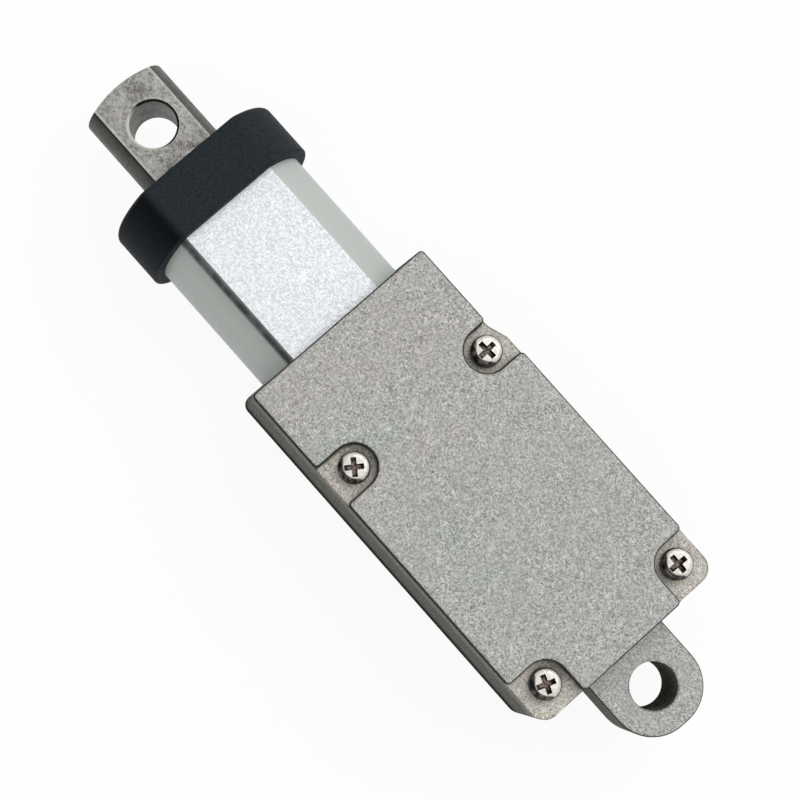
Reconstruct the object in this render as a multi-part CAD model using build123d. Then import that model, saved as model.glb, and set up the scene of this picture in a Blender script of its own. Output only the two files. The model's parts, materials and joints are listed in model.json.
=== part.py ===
from build123d import *
import math
import os

# Micro linear actuator, all lengths in millimetres.
# The origin is the centre of the rear eye bore. X runs along the rod towards its eye,
# Z is up through the cover, and the rod is drawn fully retracted.

# Eyes and stroke
EYE_SPACING = 62.0
STROKE = 10.0
EYE_BORE_RADIUS = 2.0
EYE_BORE_CHAMFER = 0.2

# Rear lug
LUG_WIDTH = 8.1
LUG_THICKNESS = 7.0
LUG_END = 3.95
LUG_CORNER_RADIUS = 3.7
LUG_TO_CASE = 3.9
LUG_EDGE_ROUND = 0.25

# Case
WALL = 1.5
SIDE_CHANNEL = 2.55
EAR_WIDTH = 0.6
EAR_RUN = 1.7
EAR_BEHIND_FRONT = 8.1
WALL_LEAN = 0.4
FRONT_LEAN = 1.8
FRONT_CORNER_TOP = 0.35
FRONT_CORNER_BOTTOM = 0.9
REAR_CORNER_RADIUS = 1.4
EAR_BLEND_RADIUS = 1.5
TOP_EDGE_ROUND = 0.3
SIDE_ROOF_DROP = 1.3
SHOULDER_MARGIN = 0.4
LIP = 0.5
NEAR = 0.01

# Cover screws and the lands that they sit on
SCREW_FRONT_INSET = 9.6
SCREW_REAR_INSET = 2.45
SCREW_LEFT_INSET = 2.35
SCREW_RIGHT_INSET = 2.1
SCREW_THREAD_RADIUS = 0.8
SCREW_SHANK_LENGTH = 6.7
SCREW_HEAD_RADIUS = 1.4
SCREW_HEAD_HEIGHT = 1.1
SCREW_HEAD_ROUND = 0.4
SCREW_RECESS_LENGTH = 1.7
SCREW_RECESS_WIDTH = 0.4
SCREW_RECESS_DEPTH = 0.6
SCREW_CLEARANCE = 0.1
BOSS_RADIUS = 1.45
LAND_RADIUS = 1.88
LAND_DEPTH = 1.3
LAND_CORNER_ROUND = 0.4

# Motor
MOTOR_HEIGHT = 12.0
MOTOR_WIDTH = 10.0
MOTOR_CAN_LENGTH = 13.0
MOTOR_CAN_WALL = 0.5
MOTOR_FACE_THICKNESS = 0.6
END_CAP_THICKNESS = 2.0
END_CAP_PLUG = 0.5
END_CAP_FLOOR = 0.5
MAGNET_THICKNESS = 1.2
MAGNET_HALF_ANGLE = 48.0
MAGNET_LENGTH = 9.0
AIR_GAP = 0.3
CORE_LENGTH = 7.0
CORE_SHOE = 0.6
CORE_HUB_RADIUS = 1.5
CORE_SLOT_ANGLE = 22.0
CORE_POLES = 3
POLE_WIDTH = 1.4
COIL_SIDE = 0.8
COIL_OVERHANG = 0.8
COIL_START_RADIUS = 1.75
COIL_SHOE_GAP = 0.1
COMMUTATOR_RADIUS = 1.3
COMMUTATOR_LENGTH = 1.2
COMMUTATOR_SLOT = 0.15
BRUSH_CLEARANCE = 0.04
BRUSH_THICKNESS = 0.6
BRUSH_WIDTH = 1.0
BRUSH_LENGTH = 1.3
BRUSH_ARM = 0.15
MOTOR_SHAFT_RADIUS = 0.5
MOTOR_BUSH_RADIUS = 1.5
MOTOR_BUSH_LENGTH = 2.0
MOTOR_SCREW_OFFSET = 4.0
MOTOR_SCREW_RADIUS = 0.5
MOTOR_SCREW_HEAD_RADIUS = 0.9
MOTOR_SCREW_HEAD_HEIGHT = 0.4
TERMINAL_LENGTH = 1.6
TERMINAL_WIDTH = 1.2
TERMINAL_THICKNESS = 0.15
TERMINAL_OFFSET = 1.5
LEAD_RADIUS = 0.2

# Gear train
GEAR_MODULE = 0.2
PRESSURE_ANGLE = 20.0
PINION_TEETH = 12
WHEEL_TEETH = 28
PROFILE_SHIFT = 0.3
TOOTH_ADDENDUM = 0.9
TOOTH_DEDENDUM = 1.25
TOOTH_THINNING = 0.08
GEAR_FACE = 1.1
GEAR_WIDTH = 1.6
GEAR_PLANES = 4
GEAR_PLATE_GAP = 0.4
GEAR_FRONT_GAP = 0.7
GEAR_HUB_RADIUS = 0.95
HUB_END_PLAY = 0.1
PLATE_THICKNESS = 0.8
POST_RADIUS = 0.6
POST_SPIGOT_RADIUS = 0.45
POST_Y = 3.3
POST_Z = 4.1
LAYSHAFT_RADIUS = 0.5
RUNNING_CLEARANCE = 0.03

# Output shaft, coupling and bearing
OUTPUT_JOURNAL_RADIUS = 0.6
OUTPUT_SEAT_RADIUS = 1.0
DRIVE_SHAFT_RADIUS = 1.5
DRIVE_FLAT = 1.1
SHAFT_END_GAP = 0.2
OUTPUT_BUSH_RADIUS = 2.0
OUTPUT_BUSH_FLANGE_RADIUS = 2.4
OUTPUT_BUSH_FLANGE = 0.4
OUTPUT_BUSH_PROUD = 0.3
AXIAL_GAP = 0.3
COUPLING_RADIUS = 2.5
COUPLING_LENGTH = 1.7
COUPLING_NOSE_RADIUS = 1.9
NOSE_CLEARANCE = 0.4
BEARING_RADIUS = 3.0
BEARING_WIDTH = 2.5
BEARING_OUTER_RACE = 0.4
BEARING_INNER_RACE = 0.45
BALL_RADIUS = 0.45
BALL_COUNT = 8
BALL_CLEARANCE = 0.02
CAGE_THICKNESS = 0.3
CAGE_WIDTH = 0.5
CAGE_OFFSET = 0.25
RETAINER_THICKNESS = 0.6
RETAINER_HOLE_RADIUS = 2.4

# Lead screw
THREAD_PITCH = 1.0
THREAD_CORE_RADIUS = 1.4
THREAD_DEPTH = 0.4
THREAD_CREST = 0.25
THREAD_ROOT = 0.45
THREAD_CLEARANCE = 0.1
THREAD_BURIED = 0.1
SCREW_COLLAR_RADIUS = 2.0
SCREW_COLLAR_LENGTH = 0.8
THREAD_RUN_OUT = 0.3
THREAD_TURNS = 15
NUT_THREAD_SPARE = 1
SCREW_TIP = 0.6

# Guide tube, cap and front bush
TUBE_WALL = 1.2
TUBE_GRIP = 3.6
TUBE_EXPOSED = 13.4
TUBE_FLANGE_RIM = 0.58
TUBE_FLANGE_LENGTH = 1.0
CAP_LENGTH = 5.1
CAP_SIDE_WALL = 1.03
CAP_TOP_WALL = 0.95
CAP_FRONT_WALL = 1.0
CAP_FRONT_ROUND = 0.55
CAP_SIDE_ROUND = 1.6
CAP_REAR_ROUND = 0.2
CAP_MOUTH_CLEARANCE = 0.3
WIPER_THICKNESS = 0.6
WIPER_RIM = 1.2
BUSH_STOP_GAP = 0.4
BUSH_THIN_WALL = 0.65

# Rod, nut and slider
ROD_RADIUS = 4.0
ROD_EYE_THICKNESS = 5.3
ROD_EYE_REACH = 4.8
ROD_DOME_RADIUS = 10.0
ROD_FLAT_BEHIND_EYE = 4.0
ROD_BORE_CLEARANCE = 0.3
ROD_BORE_SPARE = 1.0
ROD_FIT = 0.03
NUT_START_GAP = 1.1
NUT_FLANGE_INSET = 0.1
NUT_FLANGE_LENGTH = 1.2
NUT_SLEEVE_RADIUS = 2.6
NUT_GRIP = 3.0
SLIDER_LENGTH = 2.5
SLIDER_FIT = 0.05
SLIDER_SLOT_HALF = 2.6

# Limit switch board and cable entry
BOARD_THICKNESS = 0.5
BOARD_HALF_WIDTH = 2.1
BOARD_FIT = 0.05
BOARD_TAIL = 0.6
SWITCH_HEIGHT = 0.6
SWITCH_LENGTH = 2.6
SWITCH_HALF_WIDTH = 1.4
PLUNGER_LENGTH = 0.9
PLUNGER_HALF_WIDTH = 0.4
PLUNGER_PROUD = 0.2
PLUNGER_BURIED = 0.35
PLUNGER_TRAVEL = 0.15
PLUNGER_CLEARANCE = 0.03
PLUNGER_GAP = 0.1
PLUNGER_TO_ROD = 0.45
GROMMET_BEHIND_FRONT = 25.8
GROMMET_RADIUS = 1.9
GROMMET_FLANGE_RADIUS = 2.4
GROMMET_FLANGE = 0.5
GROMMET_BORE_RADIUS = 0.6
GROMMET_BORE_OFFSET = 0.8

# Places worked out from the sizes above
PLUNGER_TIP = -(ROD_RADIUS + PLUNGER_TO_ROD)
SWITCH_FACE = PLUNGER_TIP - PLUNGER_PROUD
BOARD_FACE = SWITCH_FACE - SWITCH_HEIGHT
BOARD_BACK = BOARD_FACE - BOARD_THICKNESS
SLIDER_SLOT_FLOOR = PLUNGER_TIP + PLUNGER_GAP
TUBE_BORE_RADIUS = math.hypot(BOARD_BACK, BOARD_HALF_WIDTH) + BOARD_FIT
TUBE_BORE_FLAT = ROD_RADIUS + BUSH_THIN_WALL
TUBE_RADIUS = TUBE_BORE_RADIUS + TUBE_WALL
TUBE_FLAT = TUBE_BORE_FLAT + TUBE_WALL
CAP_RADIUS = TUBE_RADIUS + CAP_SIDE_WALL
CAP_FLAT = TUBE_FLAT + CAP_TOP_WALL
NUT_FLANGE_RADIUS = ROD_RADIUS - NUT_FLANGE_INSET
MOTOR_RADIUS = MOTOR_HEIGHT / 2
MOTOR_FLAT = MOTOR_WIDTH / 2
HALF_HEIGHT = MOTOR_RADIUS + WALL
CAVITY_HALF_WIDTH = MOTOR_FLAT + SIDE_CHANNEL
LEFT_FACE = CAVITY_HALF_WIDTH + WALL
RIGHT_FRONT_FACE = -LEFT_FACE
RIGHT_REAR_FACE = RIGHT_FRONT_FACE - EAR_WIDTH
PARTING = LUG_THICKNESS / 2
CASE_REAR = LUG_TO_CASE
MOTOR_REAR = CASE_REAR + WALL
CAN_REAR = MOTOR_REAR + END_CAP_THICKNESS
PLUG_FRONT = CAN_REAR + END_CAP_PLUG
MOTOR_FRONT = CAN_REAR + MOTOR_CAN_LENGTH
REAR_PLATE_FRONT = MOTOR_FRONT + PLATE_THICKNESS
GEAR_START = REAR_PLATE_FRONT + GEAR_PLATE_GAP
GEAR_END = GEAR_START + (GEAR_PLANES - 1) * GEAR_WIDTH + GEAR_FACE
FRONT_PLATE_REAR = GEAR_END + GEAR_FRONT_GAP
FRONT_PLATE_FRONT = FRONT_PLATE_REAR + PLATE_THICKNESS
OUTPUT_BUSH_FRONT = FRONT_PLATE_FRONT + OUTPUT_BUSH_PROUD
COUPLING_REAR = OUTPUT_BUSH_FRONT + AXIAL_GAP
COUPLING_FRONT = COUPLING_REAR + COUPLING_LENGTH
COUPLING_SPLIT = (COUPLING_REAR + COUPLING_FRONT) / 2
BULKHEAD_REAR = COUPLING_FRONT + AXIAL_GAP
BEARING_REAR = BULKHEAD_REAR + LIP
BEARING_FRONT = BEARING_REAR + BEARING_WIDTH
BEARING_MIDDLE = (BEARING_REAR + BEARING_FRONT) / 2
RETAINER_FRONT = BEARING_FRONT + RETAINER_THICKNESS
TUBE_REAR = RETAINER_FRONT
FLANGE_FRONT = TUBE_REAR + TUBE_FLANGE_LENGTH
CASE_FRONT = TUBE_REAR + TUBE_GRIP
FOOT_FRONT = CASE_FRONT + FRONT_LEAN
GROMMET_FACE = RIGHT_REAR_FACE - WALL_LEAN / 2
CAP_REAR = CASE_FRONT + TUBE_EXPOSED
CAP_FRONT = CAP_REAR + CAP_LENGTH
TUBE_FRONT = CAP_FRONT - CAP_FRONT_WALL
LAYSHAFT_Y = GEAR_MODULE * (PINION_TEETH + WHEEL_TEETH) / 2
NUT_REAR = TUBE_REAR + NUT_START_GAP
SLIDER_REAR = NUT_REAR + NUT_FLANGE_LENGTH
SLIDER_FRONT = SLIDER_REAR + SLIDER_LENGTH
ROD_REAR = SLIDER_FRONT
NUT_FRONT = ROD_REAR + NUT_GRIP
BUSH_REAR = SLIDER_FRONT + STROKE + BUSH_STOP_GAP
THREAD_START = BEARING_FRONT + SCREW_COLLAR_LENGTH + THREAD_RUN_OUT
THREAD_END = THREAD_START + THREAD_TURNS * THREAD_PITCH
SCREW_FRONT = THREAD_END + SCREW_TIP
THREAD_CREST_RADIUS = THREAD_CORE_RADIUS + THREAD_DEPTH
ROD_TIP = EYE_SPACING + ROD_EYE_REACH
BOARD_REAR = BULKHEAD_REAR - BOARD_TAIL
SCREW_X_FRONT = CASE_FRONT - SCREW_FRONT_INSET
SCREW_X_REAR = CASE_REAR + SCREW_REAR_INSET
SCREW_Y_LEFT = LEFT_FACE - SCREW_LEFT_INSET
SCREW_Y_RIGHT = RIGHT_REAR_FACE + SCREW_RIGHT_INSET
LAND_HEIGHT = HALF_HEIGHT - LAND_DEPTH
SIDE_ROOF = MOTOR_RADIUS - SIDE_ROOF_DROP
GROMMET_X = CASE_FRONT - GROMMET_BEHIND_FRONT
SWITCH_STATIONS = (SLIDER_REAR + SLIDER_LENGTH / 2, SLIDER_REAR + SLIDER_LENGTH / 2 + STROKE)
BEYOND = 2 * LEFT_FACE


# Helpers for simple shapes

def block(x_range, y_range, z_range):
    """Box between two values on each axis."""
    spans = (x_range, y_range, z_range)
    size = [high - low for low, high in spans]
    middle = [(high + low) / 2 for low, high in spans]
    return Pos(*middle) * Box(*size)


def flat_block(x_range, y_range):
    """Rectangle in plan between two values on each axis."""
    (left, right), (low, high) = x_range, y_range
    return Pos((left + right) / 2, (low + high) / 2) * Rectangle(right - left, high - low)


def bar(x_range, radius, y=0.0, z=0.0):
    """Round bar along X."""
    rear, front = x_range
    shape = Rot(0, 90, 0) * Cylinder(radius, front - rear)
    return Pos((rear + front) / 2, y, z) * shape


def tube_between(x_range, outer_radius, inner_radius, y=0.0, z=0.0):
    """Round tube along X."""
    return bar(x_range, outer_radius, y, z) - bar(x_range, inner_radius, y, z)


def flat_sided_bar(x_range, radius, flat):
    """Bar along X, round at its sides and flat at its top and bottom."""
    return bar(x_range, radius) & block(x_range, (-radius, radius), (-flat, flat))


def motor_section(x_range, inset=0.0):
    """Bar along X with the motor's section: round at top and bottom, flat at its sides."""
    radius = MOTOR_RADIUS - inset
    flat = MOTOR_FLAT - inset
    return bar(x_range, radius) & block(x_range, (-flat, flat), (-radius, radius))


def pin(z_range, radius, x, y):
    """Round pin along Z."""
    low, high = z_range
    return Pos(x, y, (low + high) / 2) * Cylinder(radius, high - low)


def d_shaft(x_range, radius, flat):
    """Round shaft along X with one flat on its upper side."""
    return bar(x_range, radius) & block(x_range, (-radius, radius), (-radius, flat))


def screw_positions():
    """Plan position of each cover screw, with the direction of its nearest side."""
    for x in (SCREW_X_FRONT, SCREW_X_REAR):
        yield x, SCREW_Y_LEFT, 1
        yield x, SCREW_Y_RIGHT, -1


# Case outline and cavities

def lean_share(z):
    """Share of the walls' lean at a height: none at the top, all of it at the bottom."""
    return (HALF_HEIGHT - z) / (2 * HALF_HEIGHT)


def case_outline(z):
    """Plan of the case at a height, wider on its right side behind the front screw ear."""
    side = WALL_LEAN * lean_share(z)
    left = LEFT_FACE + side
    right_front = RIGHT_FRONT_FACE - side
    right_rear = RIGHT_REAR_FACE - side
    front = CASE_FRONT + FRONT_LEAN * lean_share(z)
    ear_front = CASE_FRONT - EAR_BEHIND_FRONT
    ear_rear = ear_front - EAR_RUN
    corners = [
        (CASE_REAR, left),
        (front, left),
        (front, right_front),
        (ear_front, right_front),
        (ear_rear, right_rear),
        (CASE_REAR, right_rear),
    ]
    plan = make_face(Polyline(*corners, close=True))
    growth = (FRONT_CORNER_BOTTOM - FRONT_CORNER_TOP) * lean_share(z)
    plan = fillet(plan.vertices().group_by(Axis.X)[0], REAR_CORNER_RADIUS)
    plan = fillet(plan.vertices().group_by(Axis.X)[-1], FRONT_CORNER_TOP + growth)
    ears = plan.vertices().filter_by_position(Axis.X, ear_rear - NEAR, ear_front + NEAR)
    return fillet(ears, EAR_BLEND_RADIUS)


def leaning_block(plan_at, z_range):
    """Solid between two heights, with straight walls from one plan to the other."""
    return loft([Pos(0, 0, z) * plan_at(z) for z in z_range], ruled=True)


def case_block():
    """Solid case, its walls leaning out towards the bottom."""
    return leaning_block(case_outline, (-HALF_HEIGHT, HALF_HEIGHT))


def motor_room():
    """Room for the motor and gears: full height in the middle, lower roof at its sides."""
    span = (MOTOR_REAR, BULKHEAD_REAR)
    shoulder = MOTOR_FLAT - SHOULDER_MARGIN
    middle = block(span, (-shoulder, shoulder), (-MOTOR_RADIUS, MOTOR_RADIUS))
    sides = (-CAVITY_HALF_WIDTH, CAVITY_HALF_WIDTH)
    return middle + block(span, sides, (-MOTOR_RADIUS, SIDE_ROOF))


def board_slot(x_range, clearance):
    """Slot that the limit board passes through."""
    half = BOARD_HALF_WIDTH + clearance
    return block(x_range, (BOARD_BACK - clearance, BOARD_FACE + clearance), (-half, half))


def case_cavity():
    """Everything that is hollow in the closed case."""
    flange_radius = TUBE_RADIUS + TUBE_FLANGE_RIM
    flange_flat = TUBE_FLAT + TUBE_FLANGE_RIM
    hollow = motor_room()
    hollow += bar((BULKHEAD_REAR - LIP, BEARING_REAR), COUPLING_NOSE_RADIUS + NOSE_CLEARANCE)
    hollow += bar((BEARING_REAR, BEARING_FRONT), BEARING_RADIUS)
    hollow += board_slot((BULKHEAD_REAR - LIP, BEARING_FRONT), BOARD_FIT)
    hollow += flat_sided_bar((BEARING_FRONT, FLANGE_FRONT), flange_radius, flange_flat)
    hollow += flat_sided_bar((BEARING_FRONT, FOOT_FRONT), TUBE_RADIUS, TUBE_FLAT)
    return hollow


def below_parting():
    """Space below the parting plane."""
    return block((-BEYOND, EYE_SPACING), (-BEYOND, BEYOND), (-BEYOND, PARTING))


def above_parting():
    """Space above the parting plane."""
    return block((-BEYOND, EYE_SPACING), (-BEYOND, BEYOND), (PARTING, BEYOND))


def rear_lug():
    """Lug with the rear eye bore."""
    inside = CASE_REAR + WALL
    half = LUG_WIDTH / 2
    plan = make_face(
        Polyline((-LUG_END, -half), (inside, -half), (inside, half), (-LUG_END, half), close=True)
    )
    tips = plan.vertices().group_by(Axis.X)[0]
    lug = extrude(fillet(tips, LUG_CORNER_RADIUS), LUG_THICKNESS / 2, both=True)
    rims = lug.edges().filter_by_position(Axis.X, -LUG_END - NEAR, CASE_REAR)
    rims = [edge for edge in rims if abs(abs(edge.center().Z) - LUG_THICKNESS / 2) < LUG_EDGE_ROUND]
    return fillet(rims, LUG_EDGE_ROUND)


def grommet_hole(radius, y_range):
    """Round cylinder through the right wall at the cable entry."""
    inner, outer = y_range
    shape = Rot(90, 0, 0) * Cylinder(radius, outer - inner)
    return Pos(GROMMET_X, (inner + outer) / 2, 0) * shape


def screw_boss(x, y, side, z_range, radius):
    """Boss round a cover screw, joined to the nearest side wall."""
    wall = side * (CAVITY_HALF_WIDTH + WALL / 2)
    web = block((x - radius, x + radius), sorted((y, wall)), z_range)
    return pin(z_range, radius, x, y) + web


def housing_base():
    """Lower case shell with the rear lug, the bulkhead and the screw bosses."""
    shell = (case_block() & below_parting()) - case_cavity()
    shell += rear_lug() - block((MOTOR_REAR, BULKHEAD_REAR), (-BEYOND, BEYOND), (-BEYOND, BEYOND))
    shell -= pin((-BEYOND, BEYOND), EYE_BORE_RADIUS, 0, 0)
    for x, y, side in screw_positions():
        shell += screw_boss(x, y, side, (-MOTOR_RADIUS, PARTING), BOSS_RADIUS)
    for x, y, side in screw_positions():
        shell -= pin((LAND_HEIGHT - SCREW_SHANK_LENGTH, PARTING), SCREW_THREAD_RADIUS, x, y)
    outside = RIGHT_REAR_FACE - WALL_LEAN
    shell -= grommet_hole(GROMMET_RADIUS, (outside, -CAVITY_HALF_WIDTH))
    return shell


# Cover and its screws

def land_plan(x, y, side):
    """Plan of one screw land, open to the side wall and, at the rear, to the corner."""
    outside = side * BEYOND
    plan = Pos(x, y) * Circle(LAND_RADIUS)
    plan += flat_block((x - LAND_RADIUS, x + LAND_RADIUS), sorted((y, outside)))
    if x == SCREW_X_REAR:
        inner = y - side * LAND_RADIUS
        plan += flat_block((CASE_REAR - LAND_RADIUS, x), sorted((inner, outside)))
    return plan


def raised_plan(z):
    """Plan of the cover's raised face at a height, between the screw lands."""
    plan = case_outline(z)
    for x, y, side in screw_positions():
        plan -= land_plan(x, y, side)
    wall = WALL_LEAN * lean_share(z)
    last = SCREW_X_FRONT + LAND_RADIUS
    near = plan.vertices().filter_by_position(Axis.X, CASE_REAR - NEAR, last + NEAR)
    corners = near.filter_by_position(Axis.X, CASE_REAR - NEAR, CASE_REAR + NEAR)
    for face in (LEFT_FACE + wall, RIGHT_FRONT_FACE - wall, RIGHT_REAR_FACE - wall):
        corners += near.filter_by_position(Axis.Y, face - NEAR, face + NEAR)
    return fillet(corners, LAND_CORNER_ROUND)


def housing_cover():
    """Upper case shell with four recessed screw lands."""
    raised = leaning_block(raised_plan, (PARTING, HALF_HEIGHT))
    top_edges = raised.edges().filter_by_position(Axis.Z, HALF_HEIGHT - NEAR, HALF_HEIGHT + NEAR)
    lid = fillet(top_edges, TOP_EDGE_ROUND)
    lid += case_block() & block((-BEYOND, EYE_SPACING), (-BEYOND, BEYOND), (PARTING, LAND_HEIGHT))
    lid -= case_cavity()
    for x, y, side in screw_positions():
        lid += screw_boss(x, y, side, (PARTING, SIDE_ROOF), BOSS_RADIUS)
    for x, y, side in screw_positions():
        hole_radius = SCREW_THREAD_RADIUS + SCREW_CLEARANCE
        lid -= pin((PARTING, LAND_HEIGHT), hole_radius, x, y)
    return lid


def cover_screw():
    """Pan head screw with a cross recess, its head resting on the plane Z = 0."""
    head = Pos(0, 0, SCREW_HEAD_HEIGHT / 2) * Cylinder(SCREW_HEAD_RADIUS, SCREW_HEAD_HEIGHT)
    head = fillet(head.edges().sort_by(Axis.Z)[-1], SCREW_HEAD_ROUND)
    floor = SCREW_HEAD_HEIGHT - SCREW_RECESS_DEPTH
    half_length = SCREW_RECESS_LENGTH / 2
    half_width = SCREW_RECESS_WIDTH / 2
    slot = block((-half_length, half_length), (-half_width, half_width), (floor, BEYOND))
    head -= slot + Rot(0, 0, 90) * slot
    return head + pin((-SCREW_SHANK_LENGTH, 0), SCREW_THREAD_RADIUS, 0, 0)


def cover_screws():
    """The four cover screws, each turned differently."""
    quarter = 90
    screws = []
    for index, (x, y, side) in enumerate(screw_positions()):
        turn = Rot(0, 0, quarter * (index + 1) / (index + 3))
        screws.append(Pos(x, y, LAND_HEIGHT) * turn * cover_screw())
    return Compound(children=screws)


# Guide tube, cap, wiper, front bush and bearing retainer

def guide_tube():
    """Flat-sided tube held in the case by a flange at its rear end."""
    outer = flat_sided_bar((TUBE_REAR, TUBE_FRONT), TUBE_RADIUS, TUBE_FLAT)
    flange_radius = TUBE_RADIUS + TUBE_FLANGE_RIM
    flange_flat = TUBE_FLAT + TUBE_FLANGE_RIM
    outer += flat_sided_bar((TUBE_REAR, FLANGE_FRONT), flange_radius, flange_flat)
    return outer - flat_sided_bar((TUBE_REAR, TUBE_FRONT), TUBE_BORE_RADIUS, TUBE_BORE_FLAT)


def tube_cap():
    """Cap over the tube's front end, with a mouth for the rod and a seat for the wiper."""
    cap = flat_sided_bar((CAP_REAR, CAP_FRONT), CAP_RADIUS, CAP_FLAT)
    cap = fillet(cap.edges().filter_by(Axis.X), CAP_SIDE_ROUND)
    front_edges = cap.edges().filter_by_position(Axis.X, CAP_FRONT - NEAR, CAP_FRONT + NEAR)
    cap = fillet(front_edges, CAP_FRONT_ROUND)
    rear_edges = cap.edges().filter_by_position(Axis.X, CAP_REAR - NEAR, CAP_REAR + NEAR)
    cap = fillet(rear_edges, CAP_REAR_ROUND)
    cap -= flat_sided_bar((CAP_REAR, TUBE_FRONT), TUBE_RADIUS, TUBE_FLAT)
    cap -= bar((TUBE_FRONT, TUBE_FRONT + WIPER_THICKNESS), ROD_RADIUS + WIPER_RIM)
    return cap - bar((TUBE_FRONT, CAP_FRONT), ROD_RADIUS + CAP_MOUTH_CLEARANCE)


def rod_wiper():
    """Wiper ring round the rod, seated in the cap."""
    span = (TUBE_FRONT, TUBE_FRONT + WIPER_THICKNESS)
    return tube_between(span, ROD_RADIUS + WIPER_RIM, ROD_RADIUS + ROD_FIT)


def front_bush():
    """Plain bush that fills the tube's front end and guides the rod."""
    span = (BUSH_REAR, TUBE_FRONT)
    outer = flat_sided_bar(span, TUBE_BORE_RADIUS, TUBE_BORE_FLAT)
    return outer - bar(span, ROD_RADIUS + ROD_FIT)


def bearing_retainer():
    """Plate clamped between the bulkhead and the tube, holding the bearing in its seat."""
    span = (BEARING_FRONT, RETAINER_FRONT)
    plate = flat_sided_bar(span, TUBE_RADIUS + TUBE_FLANGE_RIM, TUBE_FLAT + TUBE_FLANGE_RIM)
    return plate - bar(span, RETAINER_HOLE_RADIUS) - board_slot(span, BOARD_FIT)


# Motor, fixed side

def motor_can():
    """Motor can, open to the rear, with a face for the front bush and two screws."""
    can = motor_section((CAN_REAR, MOTOR_FRONT))
    can -= motor_section((CAN_REAR, MOTOR_FRONT - MOTOR_FACE_THICKNESS), MOTOR_CAN_WALL)
    can -= bar((CAN_REAR, MOTOR_FRONT), MOTOR_BUSH_RADIUS)
    for side in (-1, 1):
        can -= bar((CAN_REAR, MOTOR_FRONT), MOTOR_SCREW_RADIUS, z=side * MOTOR_SCREW_OFFSET)
    return can


def motor_end_cap():
    """Plastic end cap with a plug inside the can and a seat for the rear bush."""
    cap = motor_section((MOTOR_REAR, CAN_REAR))
    cap += motor_section((CAN_REAR, PLUG_FRONT), MOTOR_CAN_WALL)
    return cap - bar((MOTOR_REAR + END_CAP_FLOOR, PLUG_FRONT), MOTOR_BUSH_RADIUS)


def motor_magnets():
    """Two arc magnets against the round walls of the can."""
    outer = MOTOR_RADIUS - MOTOR_CAN_WALL
    rear = PLUG_FRONT + (CORE_LENGTH - MAGNET_LENGTH) / 2 + COIL_OVERHANG + COMMUTATOR_LENGTH
    ring = tube_between((rear, rear + MAGNET_LENGTH), outer, outer - MAGNET_THICKNESS)
    reach = outer * math.tan(math.radians(MAGNET_HALF_ANGLE))
    wedge = make_face(Polyline((0, 0), (-reach, outer), (reach, outer), close=True))
    wedge = extrude(Plane.YZ * wedge, EYE_SPACING)
    upper = ring & wedge
    return Compound(children=[upper, Rot(180, 0, 0) * upper])


def motor_bushes():
    """Rear bush in the end cap and front bush in the motor face."""
    bore = MOTOR_SHAFT_RADIUS + RUNNING_CLEARANCE
    rear_span = (MOTOR_REAR + END_CAP_FLOOR, PLUG_FRONT)
    front_end = REAR_PLATE_FRONT - HUB_END_PLAY
    front_span = (front_end - MOTOR_BUSH_LENGTH, front_end)
    spans = (rear_span, front_span)
    return Compound(children=[tube_between(span, MOTOR_BUSH_RADIUS, bore) for span in spans])


def motor_brushes():
    """Two brushes on spring arms, one each side of the commutator."""
    inner = COMMUTATOR_RADIUS + BRUSH_CLEARANCE
    half = BRUSH_WIDTH / 2
    span = (PLUG_FRONT, PLUG_FRONT + BRUSH_LENGTH)
    pad_span = (PLUG_FRONT + AXIAL_GAP, PLUG_FRONT + BRUSH_LENGTH)
    outer = inner + BRUSH_THICKNESS
    brush = block(pad_span, (inner, outer), (-half, half))
    brush += block(span, (outer, outer + BRUSH_ARM), (-half, half))
    return Compound(children=[brush, Rot(180, 0, 0) * brush])


def motor_terminals():
    """Two solder tabs on the right flat of the end cap."""
    face = -MOTOR_FLAT
    middle = (MOTOR_REAR + CAN_REAR) / 2
    span = (middle - TERMINAL_LENGTH / 2, middle + TERMINAL_LENGTH / 2)
    tabs = []
    for side in (-1, 1):
        low = side * TERMINAL_OFFSET - TERMINAL_WIDTH / 2
        tabs.append(block(span, (face - TERMINAL_THICKNESS, face), (low, low + TERMINAL_WIDTH)))
    return Compound(children=tabs)


def motor_leads():
    """Two insulated leads from the solder tabs to the tail of the limit board."""
    y = -MOTOR_FLAT - TERMINAL_THICKNESS - LEAD_RADIUS
    span = ((MOTOR_REAR + CAN_REAR) / 2, BOARD_REAR)
    return Compound(children=[bar(span, LEAD_RADIUS, y, s * TERMINAL_OFFSET) for s in (-1, 1)])


def motor_screws():
    """Two screws that hold the motor face to the rear gear plate."""
    screws = []
    for side in (-1, 1):
        z = side * MOTOR_SCREW_OFFSET
        shank = bar((MOTOR_FRONT - MOTOR_FACE_THICKNESS, REAR_PLATE_FRONT), MOTOR_SCREW_RADIUS, 0, z)
        head_span = (REAR_PLATE_FRONT, REAR_PLATE_FRONT + MOTOR_SCREW_HEAD_HEIGHT)
        screws.append(shank + bar(head_span, MOTOR_SCREW_HEAD_RADIUS, 0, z))
    return Compound(children=screws)


# Motor, turning side

def core_rear():
    """Rear end of the armature core."""
    return PLUG_FRONT + AXIAL_GAP + COMMUTATOR_LENGTH + COIL_OVERHANG + HUB_END_PLAY


def core_radius():
    """Outer radius of the armature, an air gap inside the magnets."""
    return MOTOR_RADIUS - MOTOR_CAN_WALL - MAGNET_THICKNESS - AIR_GAP


def motor_shaft():
    """Motor shaft from the rear bush to the front of the pinion."""
    rear = MOTOR_REAR + END_CAP_FLOOR + AXIAL_GAP
    return bar((rear, GEAR_START + GEAR_FACE + HUB_END_PLAY), MOTOR_SHAFT_RADIUS)


def pole_neck(x_range, half_width, radial_range):
    """Straight part of one armature pole, along +Z."""
    return block(x_range, (-half_width, half_width), radial_range)


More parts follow.
